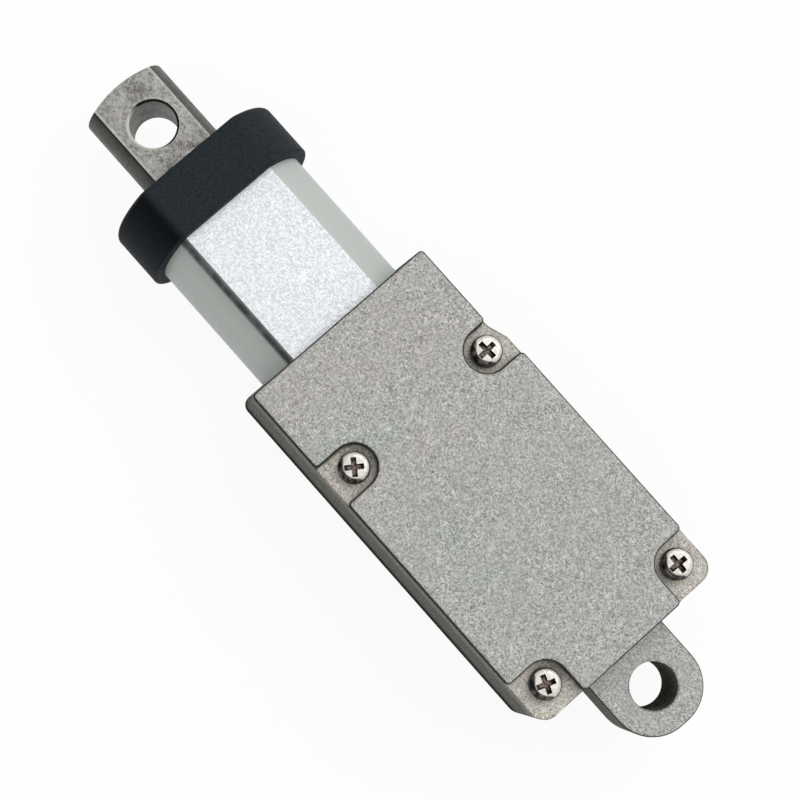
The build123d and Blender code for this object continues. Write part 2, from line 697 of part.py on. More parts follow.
def armature_core():
    """Three-pole laminated core on the motor shaft."""
    span = (core_rear(), core_rear() + CORE_LENGTH)
    outer = core_radius()
    shoe_inner = outer - CORE_SHOE
    core = tube_between(span, outer, shoe_inner)
    slot_half = outer * math.tan(math.radians(CORE_SLOT_ANGLE / 2))
    step = 360 / CORE_POLES
    for index in range(CORE_POLES):
        core -= Rot(index * step + step / 2, 0, 0) * pole_neck(span, slot_half, (0, outer))
    core += bar(span, CORE_HUB_RADIUS)
    for index in range(CORE_POLES):
        neck = pole_neck(span, POLE_WIDTH / 2, (0, shoe_inner + CORE_SHOE / 2))
        core += Rot(index * step, 0, 0) * neck
    return core - bar(span, MOTOR_SHAFT_RADIUS)


def armature_windings():
    """One coil round each pole."""
    rear = core_rear()
    span = (rear - COIL_OVERHANG, rear + CORE_LENGTH + COIL_OVERHANG)
    core_span = (rear, rear + CORE_LENGTH)
    radial = (COIL_START_RADIUS, core_radius() - CORE_SHOE - COIL_SHOE_GAP)
    half = POLE_WIDTH / 2
    corner = core_radius() - CORE_SHOE
    coil = block(span, (-half - COIL_SIDE, half + COIL_SIDE), radial) & bar(span, corner)
    coil -= block(core_span, (-half, half), radial)
    step = 360 / CORE_POLES
    return Compound(children=[Rot(i * step, 0, 0) * coil for i in range(CORE_POLES)])


def commutator():
    """Commutator drum with three shallow slots."""
    rear = PLUG_FRONT + AXIAL_GAP
    span = (rear, rear + COMMUTATOR_LENGTH)
    drum = bar(span, COMMUTATOR_RADIUS)
    half = COMMUTATOR_SLOT / 2
    floor = COMMUTATOR_RADIUS - COMMUTATOR_SLOT
    step = 360 / CORE_POLES
    for index in range(CORE_POLES):
        slot = block(span, (-half, half), (floor, COMMUTATOR_RADIUS + half))
        drum -= Rot(index * step + step / 2, 0, 0) * slot
    return drum - bar(span, MOTOR_SHAFT_RADIUS)


# Gears

def polar(radius, angle):
    """Point at a radius and an angle in radians."""
    return (radius * math.cos(angle), radius * math.sin(angle))


def tooth_half_angle(teeth, shift, radius):
    """Half of a tooth's angular thickness at a radius, from the involute."""
    pressure = math.radians(PRESSURE_ANGLE)
    pitch_radius = GEAR_MODULE * teeth / 2
    base_radius = pitch_radius * math.cos(pressure)
    at_pitch = (math.pi / 2 + 2 * shift * math.tan(pressure)) / teeth
    at_base = at_pitch - TOOTH_THINNING / (2 * pitch_radius) + math.tan(pressure) - pressure
    if radius <= base_radius:
        return at_base
    roll = math.acos(base_radius / radius)
    return at_base - (math.tan(roll) - roll)


def gear_profile(teeth, shift, phase=0.0):
    """Gear outline with an arc through each flank, one tooth centred on the phase angle."""
    pitch_radius = GEAR_MODULE * teeth / 2
    base_radius = pitch_radius * math.cos(math.radians(PRESSURE_ANGLE))
    tip = pitch_radius + GEAR_MODULE * (TOOTH_ADDENDUM + shift)
    root = pitch_radius - GEAR_MODULE * (TOOTH_DEDENDUM - shift)
    middle = (max(base_radius, root) + tip) / 2
    spread = [tooth_half_angle(teeth, shift, radius) for radius in (root, middle, tip)]
    pitch_angle = 2 * math.pi / teeth
    edges = []
    for index in range(teeth):
        centre = phase + index * pitch_angle
        falling = [polar(r, centre - a) for r, a in zip((root, middle, tip), spread)]
        rising = [polar(r, centre + a) for r, a in zip((root, middle, tip), spread)]
        next_root = polar(root, centre + pitch_angle - spread[0])
        edges.append(ThreePointArc(*falling))
        edges.append(Line(falling[-1], rising[-1]))
        edges.append(ThreePointArc(*reversed(rising)))
        edges.append(Line(rising[0], next_root))
    return make_face(Wire(edges))


def gear(x_range, teeth, shift, y, phase=0.0):
    """Solid gear along X at a sideways place."""
    rear, front = x_range
    return Pos(rear, y, 0) * extrude(Plane.YZ * gear_profile(teeth, shift, phase), front - rear)


def plane_span(index):
    """X range of one gear plane, counted from the motor."""
    rear = GEAR_START + index * GEAR_WIDTH
    return (rear, rear + GEAR_FACE)


def pinion(x_range, y):
    """Small gear of a pair, with a tooth towards its wheel."""
    return gear(x_range, PINION_TEETH, PROFILE_SHIFT, y)


def wheel(x_range, y):
    """Large gear of a pair, with a space towards its pinion."""
    return gear(x_range, WHEEL_TEETH, -PROFILE_SHIFT, y, math.pi / WHEEL_TEETH)


def motor_pinion():
    """Pinion on the motor shaft."""
    rear, front = plane_span(0)
    span = (rear - HUB_END_PLAY, front + HUB_END_PLAY)
    return pinion(span, 0) - bar(span, MOTOR_SHAFT_RADIUS)


def gear_cluster(index, y, bore, rear_end, front_end):
    """Wheel in one plane and pinion in the next, on one hub."""
    rear, wheel_front = plane_span(index)
    front = plane_span(index + 1)[1]
    cluster = wheel((rear, wheel_front), y) + pinion((wheel_front, front), y)
    cluster += bar((rear_end, rear), GEAR_HUB_RADIUS, y)
    if front_end > front:
        cluster += bar((front, front_end), GEAR_HUB_RADIUS, y)
    return cluster - bar((rear_end, max(front, front_end)), bore, y)


def gear_cluster_1():
    """First cluster, on the layshaft pin."""
    bore = LAYSHAFT_RADIUS + RUNNING_CLEARANCE
    middle = (plane_span(1)[1] + plane_span(2)[0]) / 2
    rear_end = REAR_PLATE_FRONT + HUB_END_PLAY
    return gear_cluster(0, LAYSHAFT_Y, bore, rear_end, middle - HUB_END_PLAY / 2)


def gear_cluster_2():
    """Second cluster, running on the output shaft's rear journal."""
    bore = OUTPUT_JOURNAL_RADIUS + RUNNING_CLEARANCE
    front_end = plane_span(3)[0] - SHAFT_END_GAP
    return gear_cluster(1, 0, bore, plane_span(1)[0] - SHAFT_END_GAP, front_end)


def gear_cluster_3():
    """Third cluster, on the layshaft pin."""
    bore = LAYSHAFT_RADIUS + RUNNING_CLEARANCE
    middle = (plane_span(1)[1] + plane_span(2)[0]) / 2
    front_end = FRONT_PLATE_REAR - HUB_END_PLAY
    return gear_cluster(2, LAYSHAFT_Y, bore, middle + HUB_END_PLAY / 2, front_end)


def output_gear():
    """Last wheel, fixed on the output shaft."""
    rear, front = plane_span(3)
    return wheel((rear, front), 0) - bar((rear, front), OUTPUT_SEAT_RADIUS)


# Gearbox frame

def post_places():
    """Sideways places of the four spacer posts."""
    return [(y * POST_Y, z * POST_Z) for y in (-1, 1) for z in (-1, 1)]


def gear_plate(x_range, centre_radius):
    """Gearbox plate with a centre hole, post holes and the layshaft hole."""
    plate = motor_section(x_range) - bar(x_range, centre_radius)
    plate -= bar(x_range, LAYSHAFT_RADIUS, LAYSHAFT_Y)
    for y, z in post_places():
        plate -= bar(x_range, POST_SPIGOT_RADIUS, y, z)
    return plate


def gearbox_rear_plate():
    """Gear plate on the motor face."""
    span = (MOTOR_FRONT, REAR_PLATE_FRONT)
    plate = gear_plate(span, MOTOR_BUSH_RADIUS)
    for side in (-1, 1):
        plate -= bar(span, MOTOR_SCREW_RADIUS, 0, side * MOTOR_SCREW_OFFSET)
    return plate


def gearbox_front_plate():
    """Gear plate that carries the output bush."""
    return gear_plate((FRONT_PLATE_REAR, FRONT_PLATE_FRONT), OUTPUT_BUSH_RADIUS)


def gearbox_posts():
    """Four spacer posts with riveted spigots through both plates."""
    posts = []
    for y, z in post_places():
        post = bar((REAR_PLATE_FRONT, FRONT_PLATE_REAR), POST_RADIUS, y, z)
        posts.append(post + bar((MOTOR_FRONT, FRONT_PLATE_FRONT), POST_SPIGOT_RADIUS, y, z))
    return Compound(children=posts)


def layshaft_pin():
    """Pin that carries the first and third clusters."""
    return bar((MOTOR_FRONT, FRONT_PLATE_FRONT), LAYSHAFT_RADIUS, LAYSHAFT_Y)


def output_bush():
    """Flanged bush for the output shaft."""
    bush = bar((FRONT_PLATE_REAR, OUTPUT_BUSH_FRONT), OUTPUT_BUSH_RADIUS)
    bush += bar((FRONT_PLATE_REAR - OUTPUT_BUSH_FLANGE, FRONT_PLATE_REAR), OUTPUT_BUSH_FLANGE_RADIUS)
    bore = DRIVE_SHAFT_RADIUS + RUNNING_CLEARANCE
    return bush - bar((FRONT_PLATE_REAR - OUTPUT_BUSH_FLANGE, OUTPUT_BUSH_FRONT), bore)


# Output shaft, coupling and bearing

def output_shaft():
    """Stepped shaft: rear journal, seat for the output gear, and the coupling end."""
    seat_rear, seat_front = plane_span(3)
    shaft = bar((plane_span(1)[0] - SHAFT_END_GAP, seat_rear), OUTPUT_JOURNAL_RADIUS)
    shaft += bar((seat_rear, seat_front), OUTPUT_SEAT_RADIUS)
    shaft += bar((seat_front, COUPLING_REAR), DRIVE_SHAFT_RADIUS)
    end = COUPLING_SPLIT - HUB_END_PLAY
    return shaft + d_shaft((COUPLING_REAR, end), DRIVE_SHAFT_RADIUS, DRIVE_FLAT)


def shaft_coupling():
    """Rigid coupling with a nose that bears on the inner race."""
    hub = bar((COUPLING_REAR, COUPLING_FRONT), COUPLING_RADIUS)
    hub += bar((COUPLING_FRONT, BEARING_REAR), COUPLING_NOSE_RADIUS)
    return hub - d_shaft((COUPLING_REAR, BEARING_REAR), DRIVE_SHAFT_RADIUS, DRIVE_FLAT)


def ball_circle_radius():
    """Radius of the circle of ball centres."""
    inner = DRIVE_SHAFT_RADIUS + BEARING_INNER_RACE
    return (inner + BEARING_RADIUS - BEARING_OUTER_RACE) / 2


def ball_groove():
    """Ring that the balls sweep, with their clearance."""
    ring = Torus(ball_circle_radius(), BALL_RADIUS + BALL_CLEARANCE)
    return Pos(BEARING_MIDDLE, 0, 0) * Rot(0, 90, 0) * ring


def bearing_outer_race():
    """Outer race, pressed into the bulkhead."""
    span = (BEARING_REAR, BEARING_FRONT)
    return tube_between(span, BEARING_RADIUS, BEARING_RADIUS - BEARING_OUTER_RACE) - ball_groove()


def bearing_inner_race():
    """Inner race on the lead screw's journal."""
    span = (BEARING_REAR, BEARING_FRONT)
    race = tube_between(span, DRIVE_SHAFT_RADIUS + BEARING_INNER_RACE, DRIVE_SHAFT_RADIUS)
    return race - ball_groove()


def ball(index):
    """One ball of the bearing."""
    place = Pos(BEARING_MIDDLE, 0, ball_circle_radius())
    return Rot(index * 360 / BALL_COUNT, 0, 0) * place * Sphere(BALL_RADIUS)


def bearing_balls():
    """The ring of balls."""
    return Compound(children=[ball(index) for index in range(BALL_COUNT)])


def bearing_cage():
    """Crown cage with a pocket for each ball."""
    rear = BEARING_MIDDLE + CAGE_OFFSET
    half = CAGE_THICKNESS / 2
    centre = ball_circle_radius()
    ring = tube_between((rear, rear + CAGE_WIDTH), centre + half, centre - half)
    for index in range(BALL_COUNT):
        ring -= ball(index)
    return ring


# Lead screw and nut

def helical_ridge(first, turns, base_radius, crest_radius, base_width, crest_width):
    """Right-hand helical ridge along X, starting at a given place on it."""
    helix = Helix(THREAD_PITCH, turns * THREAD_PITCH, base_radius)
    profile = make_face(
        Polyline(
            (base_radius, -base_width / 2),
            (crest_radius, -crest_width / 2),
            (crest_radius, crest_width / 2),
            (base_radius, base_width / 2),
            close=True,
        )
    )
    ridge = sweep(Plane.XZ * profile, path=helix, is_frenet=True)
    return Pos(first, 0, 0) * Rot(0, 90, 0) * ridge


def lead_screw():
    """Screw with a bearing journal, a thrust collar and a trapezoidal thread."""
    slope = (THREAD_ROOT - THREAD_CREST) / 2 / THREAD_DEPTH
    base_width = THREAD_ROOT + 2 * slope * THREAD_BURIED
    base_radius = THREAD_CORE_RADIUS - THREAD_BURIED
    collar_front = BEARING_FRONT + SCREW_COLLAR_LENGTH
    turns = THREAD_TURNS
    ridge = helical_ridge(
        THREAD_START, turns, base_radius, THREAD_CREST_RADIUS, base_width, THREAD_CREST
    )
    screw = bar((collar_front, SCREW_FRONT), THREAD_CORE_RADIUS) + ridge
    screw += bar((BEARING_FRONT, collar_front), SCREW_COLLAR_RADIUS)
    screw += bar((BEARING_REAR, BEARING_FRONT), DRIVE_SHAFT_RADIUS)
    rear = COUPLING_SPLIT + HUB_END_PLAY
    return screw + d_shaft((rear, BEARING_REAR), DRIVE_SHAFT_RADIUS, DRIVE_FLAT)


def drive_nut():
    """Brass nut: flange behind the slider, sleeve pressed into the rod."""
    span = (NUT_REAR, NUT_FRONT)
    nut = bar((NUT_REAR, SLIDER_REAR), NUT_FLANGE_RADIUS)
    nut += bar((SLIDER_REAR, NUT_FRONT), NUT_SLEEVE_RADIUS)
    nut -= bar(span, THREAD_CORE_RADIUS + THREAD_CLEARANCE)
    pitches_back = math.ceil((THREAD_START - NUT_REAR) / THREAD_PITCH) + NUT_THREAD_SPARE
    first = THREAD_START - pitches_back * THREAD_PITCH
    turns = math.ceil((NUT_FRONT - first) / THREAD_PITCH) + NUT_THREAD_SPARE
    groove = helical_ridge(
        first,
        turns,
        THREAD_CORE_RADIUS,
        THREAD_CREST_RADIUS + THREAD_CLEARANCE,
        THREAD_ROOT + 2 * THREAD_CLEARANCE,
        THREAD_CREST + 2 * THREAD_CLEARANCE,
    )
    return nut - groove


# Rod and slider

def rod():
    """Hollow rod with a domed, flattened eye."""
    dome_edge = ROD_TIP - ROD_DOME_RADIUS + math.sqrt(ROD_DOME_RADIUS**2 - ROD_RADIUS**2)
    shape = bar((ROD_REAR, ROD_TIP), ROD_RADIUS)
    dome = Pos(ROD_TIP - ROD_DOME_RADIUS, 0, 0) * Sphere(ROD_DOME_RADIUS)
    shape &= dome + bar((ROD_REAR, dome_edge - ROD_RADIUS), ROD_RADIUS)
    half = ROD_EYE_THICKNESS / 2
    flat_span = (EYE_SPACING - ROD_FLAT_BEHIND_EYE, ROD_TIP)
    for heights in ((half, ROD_RADIUS), (-ROD_RADIUS, -half)):
        shape -= block(flat_span, (-ROD_RADIUS, ROD_RADIUS), heights)
    shape -= pin((-half, half), EYE_BORE_RADIUS, EYE_SPACING, 0)
    rims = shape.edges().filter_by(GeomType.CIRCLE)
    rims = [edge for edge in rims if abs(edge.radius - EYE_BORE_RADIUS) < ROD_FIT]
    shape = chamfer(rims, EYE_BORE_CHAMFER)
    shape -= bar((ROD_REAR, NUT_FRONT), NUT_SLEEVE_RADIUS)
    bore_end = SCREW_FRONT + ROD_BORE_SPARE
    return shape - bar((ROD_REAR, bore_end), THREAD_CREST_RADIUS + ROD_BORE_CLEARANCE)


def rod_slider():
    """Slider that keeps the rod from turning, slotted over the limit board."""
    span = (SLIDER_REAR, SLIDER_FRONT)
    body = flat_sided_bar(span, TUBE_BORE_RADIUS - SLIDER_FIT, TUBE_BORE_FLAT - SLIDER_FIT)
    body -= bar(span, NUT_SLEEVE_RADIUS)
    slot = (-SLIDER_SLOT_HALF, SLIDER_SLOT_HALF)
    return body - block(span, (-TUBE_RADIUS, SLIDER_SLOT_FLOOR), slot)


# Limit board, switches and cable entry

def limit_board():
    """Long circuit board beside the slider, passing through the bulkhead."""
    return board_slot((BOARD_REAR, BUSH_REAR), 0.0)


def plunger_block(station, clearance):
    """Plunger of one switch, grown by a clearance inside its switch."""
    half_length = PLUNGER_LENGTH / 2 + clearance
    half_width = PLUNGER_HALF_WIDTH + clearance
    travel = PLUNGER_TRAVEL + clearance if clearance else 0.0
    heights = (SWITCH_FACE - PLUNGER_BURIED - travel, PLUNGER_TIP)
    return block((station - half_length, station + half_length), heights, (-half_width, half_width))


def limit_switches():
    """Two switch bodies on the board, one at each end of the stroke."""
    half = SWITCH_LENGTH / 2
    bodies = []
    for station in SWITCH_STATIONS:
        span = (station - half, station + half)
        body = block(span, (BOARD_FACE, SWITCH_FACE), (-SWITCH_HALF_WIDTH, SWITCH_HALF_WIDTH))
        bodies.append(body - plunger_block(station, PLUNGER_CLEARANCE))
    return Compound(children=bodies)


def rear_plunger():
    """Plunger of the switch at the retracted end."""
    return plunger_block(SWITCH_STATIONS[0], 0.0)


def front_plunger():
    """Plunger of the switch at the extended end."""
    return plunger_block(SWITCH_STATIONS[1], 0.0)


def cable_grommet():
    """Grommet flush in the right wall, with two lead holes and a flange inside."""
    inner_face = -CAVITY_HALF_WIDTH
    grommet = grommet_hole(GROMMET_RADIUS, (GROMMET_FACE, inner_face))
    grommet += grommet_hole(GROMMET_FLANGE_RADIUS, (inner_face, inner_face + GROMMET_FLANGE))
    for side in (-1, 1):
        hole = grommet_hole(GROMMET_BORE_RADIUS, (GROMMET_FACE, inner_face + GROMMET_FLANGE))
        grommet -= Pos(side * GROMMET_BORE_OFFSET, 0, 0) * hole
    return grommet


# Output

NODES = [
    housing_base,
    housing_cover,
    cover_screws,
    guide_tube,
    tube_cap,
    rod_wiper,
    front_bush,
    bearing_retainer,
    motor_can,
    motor_end_cap,
    motor_magnets,
    motor_bushes,
    motor_brushes,
    motor_terminals,
    motor_leads,
    motor_screws,
    motor_shaft,
    armature_core,
    armature_windings,
    commutator,
    motor_pinion,
    gearbox_rear_plate,
    gearbox_front_plate,
    gearbox_posts,
    layshaft_pin,
    output_bush,
    gear_cluster_1,
    gear_cluster_2,
    gear_cluster_3,
    output_gear,
    output_shaft,
    shaft_coupling,
    bearing_outer_race,
    bearing_inner_race,
    bearing_balls,
    bearing_cage,
    lead_screw,
    drive_nut,
    rod,
    rod_slider,
    limit_board,
    limit_switches,
    rear_plunger,
    front_plunger,
    cable_grommet,
]


def export_nodes():
    """Write one STEP file for each sub-part."""
    os.makedirs("parts", exist_ok=True)
    for make_node in NODES:
        export_step(make_node(), f"parts/{make_node.__name__}.step")


export_nodes()
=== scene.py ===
"""Looks of a micro linear actuator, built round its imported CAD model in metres."""
import json
import logging
import math
from collections.abc import Callable
from dataclasses import dataclass
from enum import Enum
from typing import ClassVar

import bmesh
import bpy
from mathutils import Euler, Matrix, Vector

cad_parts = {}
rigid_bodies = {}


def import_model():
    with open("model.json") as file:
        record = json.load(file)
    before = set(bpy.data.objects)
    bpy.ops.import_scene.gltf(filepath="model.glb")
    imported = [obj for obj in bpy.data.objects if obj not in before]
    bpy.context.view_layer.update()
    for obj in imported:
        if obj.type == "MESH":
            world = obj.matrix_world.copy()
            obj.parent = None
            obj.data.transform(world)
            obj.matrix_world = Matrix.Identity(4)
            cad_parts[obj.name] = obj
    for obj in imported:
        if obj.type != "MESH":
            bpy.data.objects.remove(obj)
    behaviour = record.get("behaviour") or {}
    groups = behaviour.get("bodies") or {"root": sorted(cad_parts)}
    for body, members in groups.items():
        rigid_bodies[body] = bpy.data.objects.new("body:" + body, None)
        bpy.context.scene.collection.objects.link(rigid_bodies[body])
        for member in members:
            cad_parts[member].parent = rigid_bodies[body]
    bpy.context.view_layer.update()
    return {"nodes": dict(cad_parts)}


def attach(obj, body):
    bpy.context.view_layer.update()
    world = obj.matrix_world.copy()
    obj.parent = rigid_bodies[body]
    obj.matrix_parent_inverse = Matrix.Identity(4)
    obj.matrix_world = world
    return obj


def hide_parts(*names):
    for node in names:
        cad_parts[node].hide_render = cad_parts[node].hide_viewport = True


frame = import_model()

LOG = logging.getLogger("actuator")
MM = 0.001
MIDDLE = 0.5

Colour = tuple[float, float, float]
Place = tuple[float, float, float]
Range = tuple[float, float]
Socket = bpy.types.NodeSocket
Outputs = bpy.types.NodeOutputs
Piece = bpy.types.Object
Surface = tuple[Socket, Socket, Socket]
Edge = bmesh.types.BMEdge
Face = bmesh.types.BMFace


def srgb(*channels: int) -> Colour:
    """Linear colour of an 8-bit screen colour.

    Args:
        *channels: Red, green and blue, 0 to 255.

    Returns:
        The colour as a shader takes it.
    """
    shares = [value / 255 for value in channels]
    return tuple(share / 12.92 if share <= 0.04045 else ((share + 0.055) / 1.055) ** 2.4
                 for share in shares)


def ends(span: Range) -> dict[str, float]:
    """The Low and High inputs of an effect."""
    return {"Low": span[0], "High": span[1]}


# Shader graph helpers

class Graph:
    """Adds and links the nodes of one shader tree."""

    mix_inputs = (0, 6, 7)
    mix_output = 2

    def __init__(self, tree: bpy.types.NodeTree) -> None:
        """Takes the tree that the nodes go into."""
        self.tree = tree

    @classmethod
    def fresh(cls, owner: bpy.types.Material | bpy.types.World) -> "Graph":
        """The emptied graph of a material or a world.

        Args:
            owner: The material or world.

        Returns:
            Its graph, without a node.
        """
        owner.use_nodes = True
        owner.node_tree.nodes.clear()
        return cls(owner.node_tree)

    def add(self, kind: str, values: dict[str | int, object] | None = None,
            **settings: object) -> Outputs:
        """Adds a node and feeds its inputs.

        Args:
            kind: The node's bpy type name, without its ShaderNode prefix.
            values: Values or sockets by the name or the index of their input.
            **settings: Properties to set on the node.

        Returns:
            The node's outputs.
        """
        made = self.tree.nodes.new("ShaderNode" + kind)
        for name, value in settings.items():
            setattr(made, name, value)
        for key, value in (values or {}).items():
            self.feed(made.inputs[key], value)
        return made.outputs

    def feed(self, target: Socket, value: object) -> None:
        """Links a socket to the target, or sets a plain value on it.

        Args:
            target: The input that is fed.
            value: A socket, a number, a vector, or a colour without its alpha.
        """
        if isinstance(value, Socket):
            self.tree.links.new(value, target)
        elif isinstance(value, tuple) and len(value) == 3 and target.type == "RGBA":
            target.default_value = (*value, 1.0)
        else:
            target.default_value = value

    def place(self) -> Socket:
        """The point on the surface, in the object's coordinates."""
        return self.add("TexCoord")["Object"]

    def normal(self) -> Outputs:
        """X, Y and Z of the surface's normal, along the object's axes."""
        return self.split(self.add("TexCoord")["Normal"])

    def seen(self) -> Socket:
        """Tells the rays that show a surface from those that light it.

        Returns:
            1 for rays from the camera, mirrors and glass, and 0 for the rest.
        """
        path = self.add("LightPath")
        first = self.greater(path["Is Camera Ray"], path["Is Glossy Ray"])
        return self.greater(first, path["Is Transmission Ray"])

    def split(self, vector: Socket) -> Outputs:
        """X, Y and Z of a vector."""
        return self.add("SeparateXYZ", {0: vector})

    def math(self, operation: str, first: object, second: object = 0.0,
             clamp: bool = False) -> Socket:
        """Result of a Math node, kept between 0 and 1 where it is clamped."""
        return self.add("Math", {0: first, 1: second}, operation=operation, use_clamp=clamp)[0]

    def times(self, first: object, second: object) -> Socket:
        """Product of two values."""
        return self.math("MULTIPLY", first, second)

    def less(self, first: object, second: object) -> Socket:
        """First value less the second."""
        return self.math("SUBTRACT", first, second)

    def size(self, value: Socket) -> Socket:
        """A value without its sign."""
        return self.math("ABSOLUTE", value)

    def greater(self, first: object, second: object) -> Socket:
        """The greater of two values."""
        return self.math("MAXIMUM", first, second)

    def span(self, value: object, low: object, high: object,
             to_low: float = 0.0, to_high: float = 1.0) -> Socket:
        """Smooth step of a value.

        Args:
            value: What is mapped.
            low: Value that gives to_low.
            high: Value that gives to_high, above or below low.
            to_low: Result at low and past it.
            to_high: Result at high and past it.

        Returns:
            The output socket.
        """
        values = dict(enumerate((value, low, high, to_low, to_high)))
        return self.add("MapRange", values, interpolation_type="SMOOTHSTEP")[0]

    def blend(self, factor: object, first: object, second: object, mode: str = "MIX") -> Socket:
        """Mix of two colours.

        Args:
            factor: Share of the second colour.
            first: First colour or socket.
            second: Second colour or socket.
            mode: Blend type of the Mix node.

        Returns:
            The colour output.
        """
        values = dict(zip(self.mix_inputs, (factor, first, second)))
        return self.add("Mix", values, data_type="RGBA", blend_type=mode)[self.mix_output]

    def tint(self, colour: object, factor: float) -> Socket:
        """The colour times a factor."""
        return self.blend(1.0, colour, (factor, factor, factor), "MULTIPLY")

    def noise(self, vector: Socket, scale: object, detail: float = 2.0, rough: float = 0.5,
              warp: float = 0.0) -> Socket:
        """Noise texture's value.

        Args:
            vector: Coordinates in metres.
            scale: Features per metre.
            detail: Octaves.
            rough: Share of the finer octaves.
            warp: Distortion.

        Returns:
            The value output.
        """
        values = {"Vector": vector, "Scale": scale, "Detail": detail, "Roughness": rough,
                  "Distortion": warp}
        return self.add("TexNoise", values)["Fac"]

    def stretched(self, vector: Socket, stretch: Place) -> Socket:
        """Coordinates scaled on each axis, where the smallest scale gives the longest marks."""
        return self.add("Mapping", {"Vector": vector, "Scale": stretch})["Vector"]


class Effect:
    """A node group that is made once and placed in many materials.

    An input without a value of its own is a vector, and every other one is a number.
    """

    name: ClassVar[str] = "effect"
    inputs: ClassVar[dict[str, float | None]] = {}
    outputs: ClassVar[tuple[str, ...]] = ("Mask",)

    def __init__(self, graph: Graph, given: Outputs) -> None:
        """Takes the group's graph and its inputs by name."""
        self.graph, self.given = graph, given

    @classmethod
    def tree(cls) -> bpy.types.NodeTree:
        """The group's tree, made at its first use.

        Returns:
            The tree, with its named inputs and outputs linked.
        """
        found = bpy.data.node_groups.get(cls.name)
        if found:
            return found
        tree = bpy.data.node_groups.new(cls.name, "ShaderNodeTree")
        for label, value in cls.inputs.items():
            kind = "NodeSocketVector" if value is None else "NodeSocketFloat"
            made = tree.interface.new_socket(label, in_out="INPUT", socket_type=kind)
            if value is not None:
                made.default_value = value
        for label in cls.outputs:
            tree.interface.new_socket(label, in_out="OUTPUT", socket_type="NodeSocketFloat")
        entry = tree.nodes.new("NodeGroupInput")
        leave = tree.nodes.new("NodeGroupOutput")
        for label, socket in cls(Graph(tree), entry.outputs).fill().items():
            tree.links.new(socket, leave.inputs[label])
        return tree

    def fill(self) -> dict[str, Socket]:
        """Adds the group's nodes, and returns its outputs by name."""
        raise NotImplementedError

    @classmethod
    def place(cls, graph: Graph, **values: object) -> Outputs:
        """Places the group in a material.

        Args:
            graph: The material's graph.
            **values: Inputs by name, with the object's coordinates if no Vector is given.

        Returns:
            The group node's outputs.
        """
        if "Vector" in cls.inputs:
            values.setdefault("Vector", graph.place())
        return graph.add("Group", values, node_tree=cls.tree())

    @classmethod
    def mask(cls, graph: Graph, **values: object) -> Socket:
        """Places the group and takes its mask."""
        return cls.place(graph, **values)["Mask"]


class Grain(Effect):
    """Light and dark worm lines over fine specks, as on tumbled die-castings."""

    name = "grain"
    inputs = {"Vector": None, "Scale": 4000.0, "Worm": 0.5, "Speck": 0.5, "Dark": 1.0,
              "Thick": 0.075}
    warp = 0.9
    dark_scale = 1.35
    broad_scale = 0.12
    broad_range = (0.32, 0.68)
    faintest = 0.4
    fine_scale = 1.9
    fine_range = (0.3, 0.7)

    def fill(self) -> dict[str, Socket]:
        """Adds the worm lines and the specks to a middle tone.

        Returns:
            The mask, 0 in the darkest marks and 1 in the lightest.
        """
        graph, given = self.graph, self.given
        place, scale = given["Vector"], given["Scale"]
        light = self.lines(scale)
        dark = self.lines(graph.times(scale, self.dark_scale))
        worm = graph.less(light, graph.times(dark, given["Dark"]))
        broad = graph.noise(place, graph.times(scale, self.broad_scale))
        worm = graph.times(worm, graph.span(broad, *self.broad_range, self.faintest, 1.0))
        worm = graph.times(worm, given["Worm"])
        fine = graph.noise(place, graph.times(scale, self.fine_scale), 1.0)
        speck = graph.less(graph.span(fine, *self.fine_range), MIDDLE)
        marks = graph.math("ADD", worm, graph.times(speck, given["Speck"]))
        return {"Mask": graph.math("ADD", marks, MIDDLE, clamp=True)}

    def lines(self, scale: Socket) -> Socket:
        """Thin winding lines where a noise of this scale crosses its middle."""
        body = self.graph.noise(self.given["Vector"], scale, detail=1.0, warp=self.warp)
        return self.graph.span(self.graph.size(self.graph.less(body, MIDDLE)), 0.0,
                               self.given["Thick"], 1.0, 0.0)


class Patches(Effect):
    """Large soft patches, for handling marks and uneven colour."""

    name = "patches"
    inputs = {"Vector": None, "Scale": 150.0, "Low": 0.35, "High": 0.65}
    detail = 3.0
    rough = 0.55
    warp = 0.4

    def fill(self) -> dict[str, Socket]:
        """Smooth step of a broad noise.

        Returns:
            The mask, 1 in the patches.
        """
        graph, given = self.graph, self.given
        broad = graph.noise(given["Vector"], given["Scale"], self.detail, self.rough, self.warp)
        return {"Mask": graph.span(broad, given["Low"], given["High"])}


class EdgeMask(Effect):
    """Mask of the edges, broken up by noise."""

    name = "edge_mask"
    inputs = {"Vector": None, "Radius": 0.0002, "Breakup": 2500.0, "Strength": 1.0}
    samples = 4
    turn_range = (0.995, 0.86)
    break_range = (0.3, 0.6)
    detail = 3.0
    rough = 0.6

    def fill(self) -> dict[str, Socket]:
        """Compares the surface's normal with one that is rounded over its edges.

        Returns:
            The mask, up to Strength on an edge and 0 away from it.
        """
        graph, given = self.graph, self.given
        rounded = graph.add("Bevel", {"Radius": given["Radius"]}, samples=self.samples)[0]
        plain = graph.add("NewGeometry")["Normal"]
        turn = graph.add("VectorMath", {0: rounded, 1: plain}, operation="DOT_PRODUCT")
        edge = graph.span(turn["Value"], *self.turn_range)
        breakup = graph.noise(given["Vector"], given["Breakup"], self.detail, self.rough)
        wear_and_highlight = graph.times(edge, graph.span(breakup, *self.break_range))
        return {"Mask": graph.math("MULTIPLY", wear_and_highlight, given["Strength"], clamp=True)}


